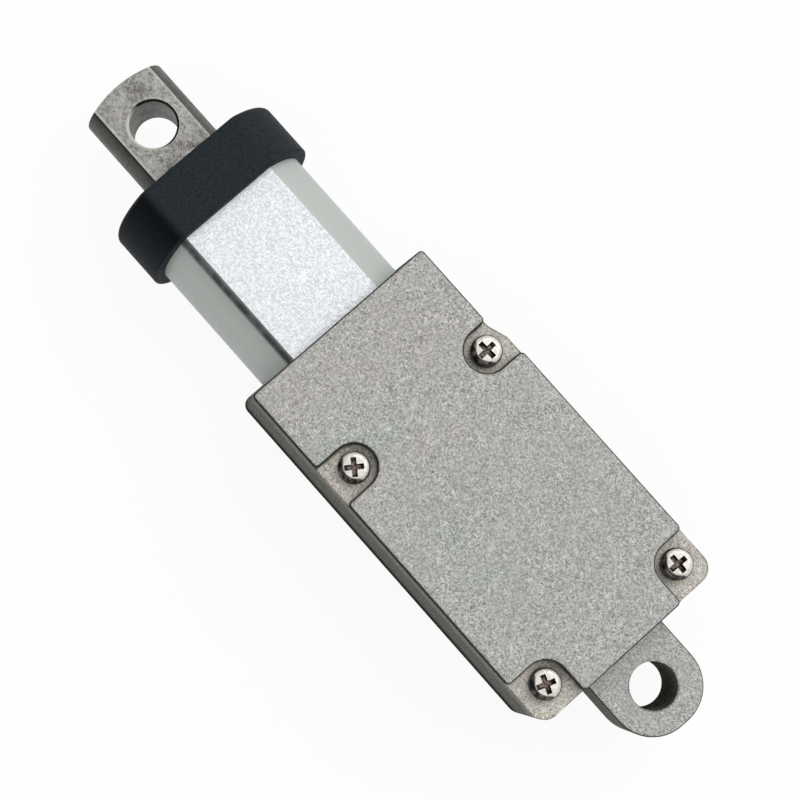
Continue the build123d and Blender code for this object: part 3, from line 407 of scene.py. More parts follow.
class Lay(Effect):
    """Fine marks that run one way, as milling, turning or drawing leaves them."""

    name = "lay"
    inputs = {"Vector": None, "Scale": 3000.0, "Mottle": 900.0}
    rough = 0.6
    mottle_detail = 3.0
    mottle_warp = 0.6
    tone_range = (0.32, 0.68)

    def fill(self) -> dict[str, Socket]:
        """Mixes fine lines with a mottle of the same direction.

        Returns:
            The mask, 0 in the dark marks and 1 in the light ones.
        """
        graph, given = self.graph, self.given
        lines = graph.noise(given["Vector"], given["Scale"], rough=self.rough)
        mottle = graph.noise(given["Vector"], given["Mottle"], self.mottle_detail, self.rough,
                             self.mottle_warp)
        mean = graph.times(graph.math("ADD", lines, mottle), MIDDLE)
        return {"Mask": graph.span(mean, *self.tone_range)}


class Facing(Effect):
    """Masks of the level faces, the walls and the rounds between them."""

    name = "facing"
    inputs = {"Low": 0.93, "High": 0.99}
    outputs = ("Level", "Wall", "Round")
    wall_range = (0.12, 0.3)

    def fill(self) -> dict[str, Socket]:
        """Splits the surface by how far its normal leans from Z.

        Returns:
            The masks of the level faces, of the walls and of what is neither.
        """
        graph, given = self.graph, self.given
        rise = graph.size(graph.normal()["Z"])
        level = graph.span(rise, given["Low"], given["High"])
        wall = graph.span(rise, *self.wall_range, 1.0, 0.0)
        rest = graph.math("SUBTRACT", graph.less(1.0, level), wall, clamp=True)
        return {"Level": level, "Wall": wall, "Round": rest}


class Shoulder(Effect):
    """Painted shade: a thin dark stroke along the left edge of a flat, and a long darkening
    beside it.
    """

    name = "shoulder"
    inputs = {"Vector": None, "Start": 0.004, "Width": 0.0004, "Reach": 0.002,
              "Soft": 0.00012}
    outputs = ("Line", "Fade")

    def fill(self) -> dict[str, Socket]:
        """Measures both along Y from the flat's edge.

        Returns:
            The masks of the line and of the fade.
        """
        graph, given = self.graph, self.given
        soft, width = given["Soft"], given["Width"]
        across = graph.less(graph.split(given["Vector"])["Y"], given["Start"])
        begun = graph.span(across, graph.times(soft, -1.0), soft)
        ended = graph.span(across, width, graph.math("ADD", width, soft), 1.0, 0.0)
        faded = graph.span(across, 0.0, given["Reach"], 1.0, 0.0)
        return {"Line": graph.times(begun, ended), "Fade": graph.times(begun, faded)}


class Bore(Effect):
    """Mask of what lies within a radius of an upright axis on the plane Y = 0."""

    name = "bore"
    inputs = {"Vector": None, "X": 0.0, "Radius": 0.002}

    def fill(self) -> dict[str, Socket]:
        """Compares the distance from the axis with the radius.

        Returns:
            The mask, 1 within the radius.
        """
        graph, given = self.graph, self.given
        at = graph.split(given["Vector"])
        along = graph.math("POWER", graph.less(at["X"], given["X"]), 2.0)
        square = graph.math("ADD", along, graph.math("POWER", at["Y"], 2.0))
        return {"Mask": graph.math("LESS_THAN", graph.math("SQRT", square), given["Radius"])}


@dataclass(frozen=True)
class EdgeMarks:
    """Marked edges of one finish, used as wear, as painted highlight and as painted shade:
    their reach, breakup per metre and strength.
    """

    radius: float
    breakup: float
    strength: float

    def mask(self, graph: Graph) -> Socket:
        """Mask of the edges."""
        return EdgeMask.mask(graph, Radius=self.radius, Breakup=self.breakup,
                             Strength=self.strength)


@dataclass(frozen=True)
class Band:
    """Band of painted shade beside the left edge of a flat, measured along Y."""

    start: float
    width: float
    reach: float
    soft: float

    def masks(self, graph: Graph) -> Outputs:
        """Masks of the line on the edge and of the fade beside it."""
        return Shoulder.place(graph, Start=self.start, Width=self.width, Reach=self.reach,
                              Soft=self.soft)


# Finishes

@dataclass(frozen=True)
class Finish:
    """What every finish has: a name, its light and dark colours, gloss, bump and grain."""

    name: str
    colour: Colour
    dark: Colour = srgb(60, 60, 60)
    metallic: float = 0.0
    specular: float = 0.5
    roughness: float = 0.5
    rough_spread: float = 0.12
    bump: float = 0.2
    bump_depth: float = 0.02 * MM
    scale: float = 4000.0
    worm: float = 0.3
    speck: float = 0.7
    worm_dark: float = 1.0
    worm_thick: float = 0.075

    def build(self) -> bpy.types.Material:
        """Makes the material at its first use.

        Returns:
            The material, with its colour, roughness and bump from nodes.
        """
        found = bpy.data.materials.get("finish_" + self.name)
        if found:
            return found
        material = bpy.data.materials.new("finish_" + self.name)
        graph = Graph.fresh(material)
        colour, rough, height = self.surface(graph)
        bump = graph.add("Bump", {"Strength": self.bump, "Distance": self.bump_depth,
                                  "Height": height})
        shader = graph.add("BsdfPrincipled", {
            "Base Color": colour, "Metallic": self.metallic, "Roughness": rough,
            "Specular IOR Level": self.specular, "Normal": bump[0]})
        graph.add("OutputMaterial", {"Surface": shader[0]})
        return material

    def surface(self, graph: Graph) -> Surface:
        """Colour, roughness and height, here of an even grain."""
        grain = self.grain(graph)
        return self.shade(graph, grain, grain)

    def grain(self, graph: Graph, **values: Socket) -> Socket:
        """Mask of the finish's grain."""
        return Grain.mask(graph, Scale=self.scale, Worm=self.worm, Speck=self.speck,
                          Dark=self.worm_dark, Thick=self.worm_thick, **values)

    def shade(self, graph: Graph, mask: Socket, height: Socket) -> Surface:
        """Colour and roughness between the finish's two ends, by a mask."""
        return graph.blend(mask, self.dark, self.colour), self.gloss(graph, mask), height

    def gloss(self, graph: Graph, mask: Socket) -> Socket:
        """Roughness, least where the mask is 1."""
        least, most = self.roughness - self.rough_spread, self.roughness + self.rough_spread
        return graph.span(mask, 0.0, 1.0, most, least)


@dataclass(frozen=True)
class CastFinish(Finish):
    """Tumbled zinc die-casting, with painted shade on its walls, rounds and edges."""

    specular: float = 0.0
    worm: float = 0.85
    speck: float = 0.4
    worm_dark: float = 0.55
    worm_thick: float = 0.05
    contrast: Range = (0.42, 1.6)
    level_range: Range = (0.7, 0.9)
    cool: Colour = srgb(173, 176, 171)
    patch_scale: float = 110.0
    patch_range: Range = (0.5, 0.7)
    rear_reach: Range = (28.0 * MM, 8.0 * MM)
    rear_share: float = 0.7
    rear_rise: Range = (4.0 * MM, 5.0 * MM)
    land: Colour = srgb(196, 191, 182)
    land_begins: Range = (4.6 * MM, 5.0 * MM)
    land_ends: Range = (6.8 * MM, 7.1 * MM)
    # Painted shade: the walls are darker than the level faces, as where they face away from the
    # lamps.
    side: Colour = srgb(121, 121, 115)
    # Painted shade: the walls darken towards the bottom, as shade near the floor.
    foot_shade: Colour = srgb(40, 40, 37)
    foot_shade_rise: Range = (-6.8 * MM, -2.6 * MM)
    upper: Colour = srgb(141, 141, 135)
    upper_rise: Range = (2.6 * MM, 4.6 * MM)
    # Painted shade: this dark colour goes on the rounds and on the walls just under the top
    # edge.
    rim: Colour = srgb(30, 29, 26)
    rim_rise: Range = (6.3 * MM, 6.9 * MM)
    # Painted shade: thin dark strokes along the edges of the level faces, broken up by noise.
    edge_shade: EdgeMarks = EdgeMarks(0.3 * MM, 500.0, 1.3)
    edge_shade_share: float = 0.9
    bore: Colour = srgb(112, 113, 103)
    bore_radius: float = 2.15 * MM

    def surface(self, graph: Graph) -> Surface:
        """Grain on the faces, with painted shade on the walls, rounds and edges.

        Args:
            graph: The material's graph.

        Returns:
            Colour, roughness and height.
        """
        lie = Facing.place(graph, **ends(self.level_range))
        # Painted shade: the walls take a darker tone than the level faces.
        tone = graph.blend(lie["Wall"], self.top_tone(graph), self.wall_tone(graph))
        # Painted shade: the rounds and the edges of the level faces take the rim's dark colour.
        edge = graph.times(self.edge_shade.mask(graph), lie["Level"])
        dark = graph.times(graph.greater(lie["Round"], edge), self.edge_shade_share)
        tone = graph.blend(dark, tone, self.rim)
        hole = Bore.mask(graph, X=0.0, Radius=self.bore_radius)
        tone = graph.blend(graph.times(hole, lie["Wall"]), tone, self.bore)
        grain = self.grain(graph)
        low, high = self.contrast
        colour = graph.blend(grain, graph.tint(tone, low), graph.tint(tone, high))
        return colour, self.gloss(graph, grain), grain

    def top_tone(self, graph: Graph) -> Socket:
        """Colour of the level faces: cooler in patches and at the rear, paler on the lands.

        Args:
            graph: The material's graph.

        Returns:
            The colour.
        """
        at = graph.split(graph.place())
        patch = Patches.mask(graph, Scale=self.patch_scale, **ends(self.patch_range))
        rear = graph.times(graph.span(at["X"], *self.rear_reach, 0.0, self.rear_share),
                           graph.span(at["Z"], *self.rear_rise))
        tone = graph.blend(graph.greater(patch, rear), self.colour, self.cool)
        lands = graph.times(graph.span(at["Z"], *self.land_begins),
                            graph.span(at["Z"], *self.land_ends, 1.0, 0.0))
        return graph.blend(lands, tone, self.land)

    def wall_tone(self, graph: Graph) -> Socket:
        """Colour of the walls: painted shade under the top edge and towards the bottom, with a
        lighter band below the top.

        Args:
            graph: The material's graph.

        Returns:
            The colour.
        """
        height = graph.split(graph.place())["Z"]
        # Painted shade darkens the walls towards the bottom.
        tone = graph.blend(graph.span(height, *self.foot_shade_rise), self.foot_shade, self.side)
        tone = graph.blend(graph.span(height, *self.upper_rise), tone, self.upper)
        # Painted shade just under the top edge.
        return graph.blend(graph.span(height, *self.rim_rise), tone, self.rim)


@dataclass(frozen=True)
class BlastedFinish(Finish):
    """Bead-blasted aluminium, bright on its flats and plainer on its round sides, with painted
    shade beside the flats' left edge.
    """

    pit: Colour = (0.64, 0.65, 0.67)
    side: Colour = srgb(188, 194, 189)
    # Painted shade: the darker side colour and the dark stroke beside the flats' left edge.
    fade_shade: Colour = srgb(165, 171, 166)
    shade_line: Colour = srgb(38, 42, 41)
    band: Band = Band(4.5 * MM, 0.45 * MM, 1.9 * MM, 0.3 * MM)
    blotch_scale: float = 900.0
    blotch_range: Range = (0.35, 0.6)
    faintest: float = 0.84

    def surface(self, graph: Graph) -> Surface:
        """Fine sparkle on the flats, and a stroke and a long band of painted shade beside their
        left edge.

        Args:
            graph: The material's graph.

        Returns:
            Colour, roughness and height.
        """
        band = self.band.masks(graph)
        blotch = graph.noise(graph.place(), self.blotch_scale)
        blotch = graph.span(blotch, *self.blotch_range, self.faintest, 1.0)
        # Painted shade beside the left edge of the flats, broken up by the blotch.
        side = graph.blend(band["Fade"], self.side, self.fade_shade)
        side = graph.blend(graph.times(band["Line"], blotch), side, self.shade_line)
        flat = Facing.place(graph)["Level"]
        grain = self.grain(graph)
        light = graph.blend(flat, side, self.colour)
        pits = graph.times(graph.less(1.0, grain), flat)
        colour = graph.blend(pits, light, graph.blend(1.0, light, self.pit, "MULTIPLY"))
        return colour, self.gloss(graph, grain), grain


@dataclass(frozen=True)
class AnodisedFinish(Finish):
    """Blue-black coating, with painted shade along its left shoulder and edges lightened partly
    by wear and partly as painted highlight.
    """

    specular: float = 0.05
    worm: float = 0.4
    speck: float = 0.6
    # Painted shade along the left shoulder of the cap.
    left_shade: Colour = srgb(7, 11, 14)
    band: Band = Band(4.75 * MM, 0.8 * MM, 4.6 * MM, 0.45 * MM)
    end_range: Range = (0.3, 0.7)
    # Edge colour: partly rubbed wear, partly painted highlight.
    wear_and_highlight: Colour = srgb(96, 104, 107)
    wear: EdgeMarks = EdgeMarks(0.1 * MM, 3000.0, 0.45)

    def surface(self, graph: Graph) -> Surface:
        """Fine grain, painted shade beside the left edge of the flats, and edges lightened
        partly by rubbing and partly as painted highlight.

        Args:
            graph: The material's graph.

        Returns:
            Colour, roughness and height.
        """
        colour, rough, height = super().surface(graph)
        around = graph.span(graph.size(graph.normal()["X"]), *self.end_range, 1.0, 0.0)
        fade_shade = graph.times(self.band.masks(graph)["Fade"], around)
        colour = graph.blend(fade_shade, colour, self.left_shade)
        # Edges lightened partly by rubbing and partly as painted highlight.
        return graph.blend(self.wear.mask(graph), colour, self.wear_and_highlight), rough, height


@dataclass(frozen=True)
class HeadFinish(Finish):
    """Bright metal, dark on the sides that face away from the light."""

    specular: float = 0.15
    # Painted shade: the head's steep sides and the sides turned away from the lamp take this
    # dark colour.
    side: Colour = srgb(14, 11, 9)
    shade_range: Range = (0.04, 0.18)
    level_range: Range = (0.5, 0.72)
    blotch_scale: float = 1800.0
    blotch_range: Range = (0.4, 0.65)
    blotch_share: float = 0.16

    def surface(self, graph: Graph) -> Surface:
        """The plain pattern, with painted shade on the steep and the turned-away parts.

        Args:
            graph: The material's graph.

        Returns:
            Colour, roughness and height.
        """
        colour, rough, height = super().surface(graph)
        # Painted shade on the steep parts and on those turned away from the lamp.
        level = Facing.place(graph, **ends(self.level_range))["Level"]
        lit = graph.span(graph.normal()["Y"], *self.shade_range, 1.0, 0.0)
        blotch = graph.noise(graph.place(), self.blotch_scale)
        blotch = graph.span(blotch, *self.blotch_range, 0.0, self.blotch_share)
        kept = graph.greater(graph.times(lit, level), blotch)
        return graph.blend(kept, self.side, colour), rough, height


@dataclass(frozen=True)
class RecessFinish(Finish):
    """Driver recess, brown on its floor, with painted shade on its walls and a painted
    highlight on the walls that face the lamp.
    """

    specular: float = 0.1
    # Painted shade on the recess walls.
    side: Colour = srgb(16, 12, 10)
    # Painted highlight on the recess walls that face -Y, towards the lamp.
    lit: Colour = srgb(214, 202, 192)
    lit_range: Range = (-0.25, -0.6)
    level_range: Range = (0.8, 0.95)

    def surface(self, graph: Graph) -> Surface:
        """The plain pattern on the floor, and painted shade and painted highlight on the walls
        by how they face.

        Args:
            graph: The material's graph.

        Returns:
            Colour, roughness and height.
        """
        colour, rough, height = super().surface(graph)
        level = Facing.place(graph, **ends(self.level_range))["Level"]
        # Painted shade and painted highlight on the walls, by the way they face.
        lit = graph.span(graph.normal()["Y"], *self.lit_range)
        return graph.blend(level, graph.blend(lit, self.side, self.lit), colour), rough, height


@dataclass(frozen=True)
class EyeFinish(Finish):
    """Milled steel eye: mottled faces, sides darkened as painted shade, and thin bright edges
    that are partly wear and partly painted highlight.
    """

    specular: float = 0.25
    worm: float = 0.55
    speck: float = 0.45
    stretch: Place = (0.8, 1.0, 1.0)
    cloud_scale: float = 700.0
    cloud_range: Range = (0.3, 0.7)
    cloud_share: float = 0.35
    # Painted shade: the sides, and a band and a thin stroke beside the face's edge, are darker
    # than the faces.
    side: Colour = srgb(80, 79, 74)
    side_contrast: Range = (0.85, 1.15)
    fade_shade: float = 0.45
    shade_line: Colour = srgb(18, 17, 14)
    band: Band = Band(2.98 * MM, 0.12 * MM, 0.8 * MM, 0.12 * MM)
    bore: Colour = srgb(98, 98, 92)
    bore_radius: float = 2.25 * MM
    bore_x: float = 62.0 * MM
    # Painted shade and painted highlight on the bore's chamfer, dark on one side and bright on
    # the side that faces -Y.
    chamfer_range: Range = (0.3, 0.6)
    chamfer_lit: Range = (0.1, -0.45)
    # Partly wear and partly painted highlight: the bright colour of the edges and of the lit
    # side of the chamfer.
    bright: Colour = srgb(214, 212, 205)
    wear: EdgeMarks = EdgeMarks(0.16 * MM, 1200.0, 0.9)
    # Painted highlight: a thin bright strip just inside the face's edges.
    border_outer: float = 0.12 * MM
    border_inner: float = 0.24 * MM
    border_share: float = 0.35

    def surface(self, graph: Graph) -> Surface:
        """Mottled tool marks, sides with painted shade, edges lightened by wear and painted
        highlight.

        Args:
            graph: The material's graph.

        Returns:
            Colour, roughness and height.
        """
        along = graph.stretched(graph.place(), self.stretch)
        grain = self.grain(graph, Vector=along)
        cloud = Patches.mask(graph, Vector=along, Scale=self.cloud_scale,
                             **ends(self.cloud_range))
        mask = graph.math("ADD", graph.times(grain, 1.0 - self.cloud_share),
                          graph.times(cloud, self.cloud_share))
        face, rough, height = self.shade(graph, mask, mask)
        level = Facing.place(graph)["Level"]
        colour = graph.blend(level, self.side_tone(graph, grain), face)
        off = graph.size(graph.split(graph.place())["Y"])
        # Painted highlight along the face's edges, joined with the edges' wear.
        edge = self.band.start
        border_highlight = graph.span(off, edge - self.border_inner, edge - self.border_outer, 0.0,
                            self.border_share)
        wear_and_highlight = graph.times(graph.greater(self.wear.mask(graph), border_highlight), level)
        return graph.blend(wear_and_highlight, colour, self.bright), rough, height

    def side_tone(self, graph: Graph, grain: Socket) -> Socket:
        """Colour of what isn't level: round sides with painted shade, a band of painted shade,
        and the bore.

        Args:
            graph: The material's graph.
            grain: Mask of the grain.

        Returns:
            The colour.
        """
        low, high = self.side_contrast
        # Painted shade on the sides, in the band and on the stroke beside the face's edge.
        side = graph.blend(grain, graph.tint(self.side, low), graph.tint(self.side, high))
        band = self.band.masks(graph)
        side = graph.blend(band["Fade"], side, graph.tint(side, self.fade_shade))
        side = graph.blend(band["Line"], side, self.shade_line)
        hole = Bore.mask(graph, X=self.bore_x, Radius=self.bore_radius)
        return graph.blend(hole, side, self.bore_tone(graph))

    def bore_tone(self, graph: Graph) -> Socket:
        """Wall of the bore, with painted shade on one side of its chamfer and a painted
        highlight on the other.

        Args:
            graph: The material's graph.

        Returns:
            The colour.
        """
        normal = graph.normal()
        chamfer = graph.span(graph.size(normal["Z"]), *self.chamfer_range)
        rim = graph.blend(graph.span(normal["Y"], *self.chamfer_lit), self.shade_line, self.bright)
        return graph.blend(chamfer, self.bore, rim)


@dataclass(frozen=True)
class MilledFinish(Finish):
    """Turned and milled metal with tool marks along one axis and bright edges."""

    stretch: Place = (0.25, 1.0, 1.0)
    mottle_share: float = 0.4
    bright: Colour = srgb(225, 222, 215)
    wear: EdgeMarks = EdgeMarks(0.15 * MM, 900.0, 0.8)

    def surface(self, graph: Graph) -> Surface:
        """Tool marks with worn bright edges.

        Args:
            graph: The material's graph.

        Returns:
            Colour, roughness and height.
        """
        lay = Lay.mask(graph, Vector=graph.stretched(graph.place(), self.stretch),
                       Scale=self.scale, Mottle=self.scale * self.mottle_share)
        colour, rough, height = self.shade(graph, lay, lay)
        return graph.blend(self.wear.mask(graph), colour, self.bright), rough, height


@dataclass(frozen=True)
class RingedFinish(Finish):
    """Rings round X, as turning, winding or stacked sheets leave them."""

    pitch: float = 0.2 * MM
    pitch_at_one: float = 0.314
    waver: float = 0.4

    def surface(self, graph: Graph) -> Surface:
        """Rings of one pitch with a little grain.

        Args:
            graph: The material's graph.

        Returns:
            Colour, roughness and height.
        """
        values = {"Vector": graph.place(), "Scale": self.pitch_at_one / self.pitch,
                  "Distortion": self.waver}
        rings = graph.add("TexWave", values, wave_type="BANDS", bands_direction="X")["Fac"]
        mask = graph.times(graph.math("ADD", rings, self.grain(graph)), MIDDLE)
        return self.shade(graph, mask, rings)


@dataclass(frozen=True)
class MouldedFinish(Finish):
    """Moulded plastic or rubber with a fine spark-eroded grain."""

    specular: float = 0.4


class Finishes(Enum):
    """Every finish of the actuator."""

    DIE_CAST_ZINC = CastFinish(
        "die_cast_zinc", srgb(178, 176, 172), roughness=0.58, bump=0.3, scale=2900.0)
    NICKEL_STEEL = HeadFinish(
        "nickel_steel", srgb(228, 226, 218), srgb(196, 191, 183), metallic=0.3, roughness=0.36,
        rough_spread=0.08, bump=0.1, bump_depth=0.01 * MM, scale=3000.0)
    RECESS = RecessFinish(
        "recess", srgb(172, 157, 148), srgb(66, 52, 45), metallic=0.2, roughness=0.55, bump=0.3,
        scale=2400.0)
    BEAD_BLASTED = BlastedFinish(
        "bead_blasted_aluminium", srgb(243, 246, 248), metallic=0.2, bump=0.3, scale=3200.0)
    BLACK_ANODISED = AnodisedFinish(
        "black_anodised", srgb(50, 56, 60), srgb(22, 28, 33), roughness=0.62, scale=5200.0)
    TURNED_STEEL = EyeFinish(
        "turned_steel", srgb(188, 186, 181), srgb(78, 76, 72), metallic=0.2, roughness=0.45,
        bump=0.3, scale=2300.0)
    GROUND_STEEL = MilledFinish(
        "ground_steel", srgb(190, 190, 190), srgb(150, 150, 150), metallic=1.0, roughness=0.28,
        stretch=(1.0, 0.2, 0.2), scale=5000.0)
    BEARING_STEEL = MilledFinish(
        "bearing_steel", srgb(215, 215, 218), srgb(175, 175, 180), metallic=1.0, roughness=0.16,
        rough_spread=0.06, bump=0.1, stretch=(1.0, 0.15, 0.15), scale=6000.0)
    CAGE_POLYMER = MouldedFinish(
        "cage_polymer", srgb(228, 216, 180), srgb(200, 186, 150), roughness=0.45, scale=5000.0)
    PLATED_PLATE = MilledFinish(
        "plated_plate", srgb(185, 188, 190), srgb(140, 143, 146), metallic=0.9, roughness=0.36,
        stretch=(1.0, 0.3, 1.0))
    MOTOR_STEEL = MilledFinish(
        "motor_steel", srgb(196, 194, 188), srgb(150, 148, 144), metallic=0.95, roughness=0.32,
        stretch=(0.2, 1.0, 1.0))
    FERRITE = Finish(
        "ferrite", srgb(62, 62, 66), srgb(38, 38, 42), metallic=0.1, roughness=0.7, bump=0.6)
    SILICON_STEEL = RingedFinish(
        "silicon_steel", srgb(120, 122, 126), srgb(60, 62, 66), metallic=0.8, roughness=0.45,
        bump=0.6, pitch=0.35 * MM)
    ENAMELLED_COPPER = RingedFinish(
        "enamelled_copper", srgb(196, 92, 44), srgb(110, 40, 18), metallic=0.8, roughness=0.3,
        bump=0.8, bump_depth=0.05 * MM, pitch=0.16 * MM, scale=5000.0)
    COPPER = MilledFinish(
        "copper", srgb(214, 132, 92), srgb(160, 88, 56), metallic=1.0, roughness=0.32,
        bright=srgb(240, 190, 160))
    BRASS_GEAR = MilledFinish(
        "brass_gear", srgb(214, 176, 96), srgb(168, 130, 62), metallic=1.0, roughness=0.3,
        stretch=(0.3, 1.0, 1.0), bright=srgb(240, 214, 150), scale=5000.0)
    SINTERED_BRONZE = Finish(
        "sintered_bronze", srgb(176, 128, 84), srgb(100, 66, 40), metallic=0.7, roughness=0.55,
        bump=0.8, bump_depth=0.03 * MM, scale=5000.0)
    ACETAL = MouldedFinish(
        "acetal", srgb(232, 230, 222), srgb(206, 204, 196), roughness=0.42)
    BLACK_PLASTIC = MouldedFinish(
        "black_plastic", srgb(46, 46, 48), srgb(30, 30, 32))
    BOARD_LAMINATE = MouldedFinish(
        "board_laminate", srgb(34, 98, 62), srgb(22, 72, 46), roughness=0.35, scale=3500.0)
    LEAD_INSULATION = MouldedFinish(
        "lead_insulation", srgb(170, 34, 28), srgb(130, 22, 18), roughness=0.42, scale=3000.0)
    SEAL_RUBBER = MouldedFinish(
        "seal_rubber", srgb(38, 38, 40), srgb(24, 24, 26), roughness=0.68)

    def dress(self, *nodes: str) -> None:
        """Gives CAD nodes this finish through their material slots.

        Args:
            *nodes: The nodes' names.
        """
        for name in nodes:
            node = frame["nodes"][name]
            if not node.material_slots:
                node.data.materials.append(None)
            for slot in node.material_slots:
                slot.material = self.value.build()
            LOG.info("%s: %s", name, self.value.name)


# Modelling helpers

def clear_selection() -> None:
    """Deselects every object."""
    for other in bpy.context.view_layer.objects:
        other.select_set(False)


def only(piece: Piece) -> None:
    """Selects one object alone and makes it active.

    Args:
        piece: The object.
    """
    clear_selection()
    piece.select_set(True)
    bpy.context.view_layer.objects.active = piece


def settle(piece: Piece) -> None:
    """Puts the object's place, turn and scale into its mesh."""
    only(piece)
    bpy.ops.object.transform_apply(location=True, rotation=True, scale=True)


def pick(piece: Piece, kind: str, wanted: Callable[[Edge | Face], bool]) -> None:
    """Enters edit mode with the wanted edges or faces selected.

    Args:
        piece: The mesh object.
        kind: EDGE or FACE.
        wanted: Test of each edge or face, in the object's own coordinates.
    """
    only(piece)
    bpy.ops.object.mode_set(mode="EDIT")
    bpy.ops.mesh.select_mode(type=kind)
    mesh = bmesh.from_edit_mesh(piece.data)
    for element in mesh.edges if kind == "EDGE" else mesh.faces:
        element.select_set(wanted(element))
    mesh.select_flush_mode()
    bmesh.update_edit_mesh(piece.data)


# Sub-assemblies

@dataclass
class CoverScrews:
    """Four pan head screws with a tapered cross recess and a threaded shank.

    Each seat is a screw's X and Y and the turn of its cross in degrees.
    """

    head_radius: float = 1.32 * MM
    head_height: float = 1.1 * MM
    head_sides: int = 48
    crown: float = 0.54 * MM
    crown_steps: int = 6
    crown_profile: float = 0.55
    recess_reach: float = 0.82 * MM
    recess_width: float = 0.46 * MM
    recess_depth: float = 0.7 * MM
    recess_spare: float = 0.05 * MM
    recess_taper: Range = (0.66, 0.7)
    recess_mouth: float = 0.45
    crest_radius: float = 0.78 * MM
    root_radius: float = 0.6 * MM
    pitch: float = 0.45 * MM
    tip_share: float = 0.35
    shank_length: float = 6.5 * MM
    smooth_angle: float = math.radians(35.0)
    near: float = 0.001 * MM
    downwards: float = -0.99
    seat_height: float = 6.2 * MM
    seats: tuple[Place, ...] = (
        (29.2 * MM, 6.7 * MM, 55.0),
        (29.2 * MM, -7.55 * MM, 4.0),
        (6.35 * MM, 6.7 * MM, 70.0),
        (6.35 * MM, -7.55 * MM, -2.0),
    )

    def build(self) -> list[Piece]:
        """Models one screw and copies it to its four seats.

        Returns:
            The finished pieces.
        """
        pattern = self.model()
        screws = []
        for index, (x, y, turn) in enumerate(self.seats, start=1):
            screw = bpy.data.objects.new(f"cover_screw_{index}", pattern.data.copy())
            bpy.context.scene.collection.objects.link(screw)
            screw.location = (x, y, self.seat_height)
            screw.rotation_euler = (0.0, 0.0, math.radians(turn))
            settle(screw)
            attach(screw, "housing")
            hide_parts("cover_screws")
            screws.append(screw)
        bpy.data.objects.remove(pattern)
        return screws

    def model(self) -> Piece:
        """Models one screw at the origin.

        Returns:
            The screw, with its head resting on the plane Z = 0.
        """
        clear_selection()
        bpy.ops.mesh.primitive_cylinder_add(
            vertices=self.head_sides, radius=self.head_radius, depth=self.head_height,
            location=(0.0, 0.0, self.head_height / 2))
        screw = bpy.context.object
        settle(screw)
        self.crown_head(screw)
        self.draw_shank(screw)
        self.cut_recess(screw)
        self.dress(screw)
        return screw

    def crown_head(self, screw: Piece) -> None:
        """Rounds the head's top edge into a pan.

        Args:
            screw: The plain cylinder.
        """
        def on_rim(edge: Edge) -> bool:
            """Whether the edge runs round the head's top."""
            return all(abs(end.co.z - self.head_height) < self.near for end in edge.verts)
        pick(screw, "EDGE", on_rim)
        bpy.ops.mesh.bevel(offset=self.crown, segments=self.crown_steps,
                           profile=self.crown_profile, affect="EDGES")
        bpy.ops.object.mode_set(mode="OBJECT")

    def draw_shank(self, screw: Piece) -> None:
        """Insets the underside and draws the shank down in thread ridges.

        Args:
            screw: The screw's head.
        """
        def below(face: Face) -> bool:
            """Whether the face is the head's underside."""
            return face.normal.z < self.downwards and face.calc_center_median().z < self.near
        pick(screw, "FACE", below)
        bpy.ops.mesh.inset(thickness=self.head_radius - self.crest_radius)
        ridges = round(self.shank_length / self.pitch) - 1
        wide = self.crest_radius
        for aim in (self.root_radius, self.crest_radius) * ridges:
            self.draw_ring(-self.pitch / 2, aim / wide)
            wide = aim
        self.draw_ring(-self.pitch, self.tip_share)
        bpy.ops.object.mode_set(mode="OBJECT")

    def draw_ring(self, drop: float, scale: float) -> None:
        """Extrudes the selected end face by a drop and scales it."""
        bpy.ops.mesh.extrude_region_move(TRANSFORM_OT_translate={"value": (0.0, 0.0, drop)})
        bpy.ops.transform.resize(value=(scale, scale, 1.0))

    def cut_recess(self, screw: Piece) -> None:
        """Cuts the cross with two tapered bars.

        Args:
            screw: The screw.
        """
        for turn in (0.0, math.pi / 2):
            bar = self.recess_bar(turn)
            cut = screw.modifiers.new("recess", "BOOLEAN")
            cut.operation = "DIFFERENCE"
            cut.solver = "EXACT"
            cut.object = bar
            only(screw)
            bpy.ops.object.modifier_apply(modifier=cut.name)
            bpy.data.objects.remove(bar)

    def recess_bar(self, turn: float) -> Piece:
        """Makes one bar of the cross, narrower at its lower end.

        Args:
            turn: Its turn about the screw's axis, in radians.

        Returns:
            The bar, which stands out of the head's top a little.
        """
        tall = self.recess_depth + self.recess_spare
        low = self.head_height - self.recess_depth
        clear_selection()
        bpy.ops.mesh.primitive_cube_add(size=1.0)
        bar = bpy.context.object
        bar.scale = (2 * self.recess_reach, self.recess_width, tall)
        bar.location = (0.0, 0.0, low + tall / 2)
        settle(bar)

        def at_tip(face: Face) -> bool:
            """Whether the face is the bar's lower end."""
            return abs(face.calc_center_median().z - low) < self.near
        pick(bar, "FACE", at_tip)
        bpy.ops.transform.resize(value=(*self.recess_taper, 1.0))
        bpy.ops.object.mode_set(mode="OBJECT")
        bar.rotation_euler = (0.0, 0.0, turn)
        settle(bar)
        return bar

    def dress(self, screw: Piece) -> None:
        """Gives the screw its two finishes and smooths its rounds.

        Args:
            screw: The screw.
        """
        screw.data.materials.clear()
        for finish in (Finishes.NICKEL_STEEL, Finishes.RECESS):
            screw.data.materials.append(finish.value.build())
        for face in screw.data.polygons:
            face.material_index = int(self.in_recess(face.center))
        only(screw)
        bpy.ops.object.shade_smooth_by_angle(angle=self.smooth_angle)

    def in_recess(self, centre: Vector) -> bool:
        """Whether a face belongs to the recess's walls or floor.

        Args:
            centre: The face's centre.

        Returns:
            True in the cross, below the part of the crown that it cuts.
        """
        lowest = self.head_height - self.recess_depth - self.recess_spare
        highest = self.head_height - self.crown * self.recess_mouth
        inside = math.hypot(centre.x, centre.y) < self.recess_reach
        return inside and lowest < centre.z < highest


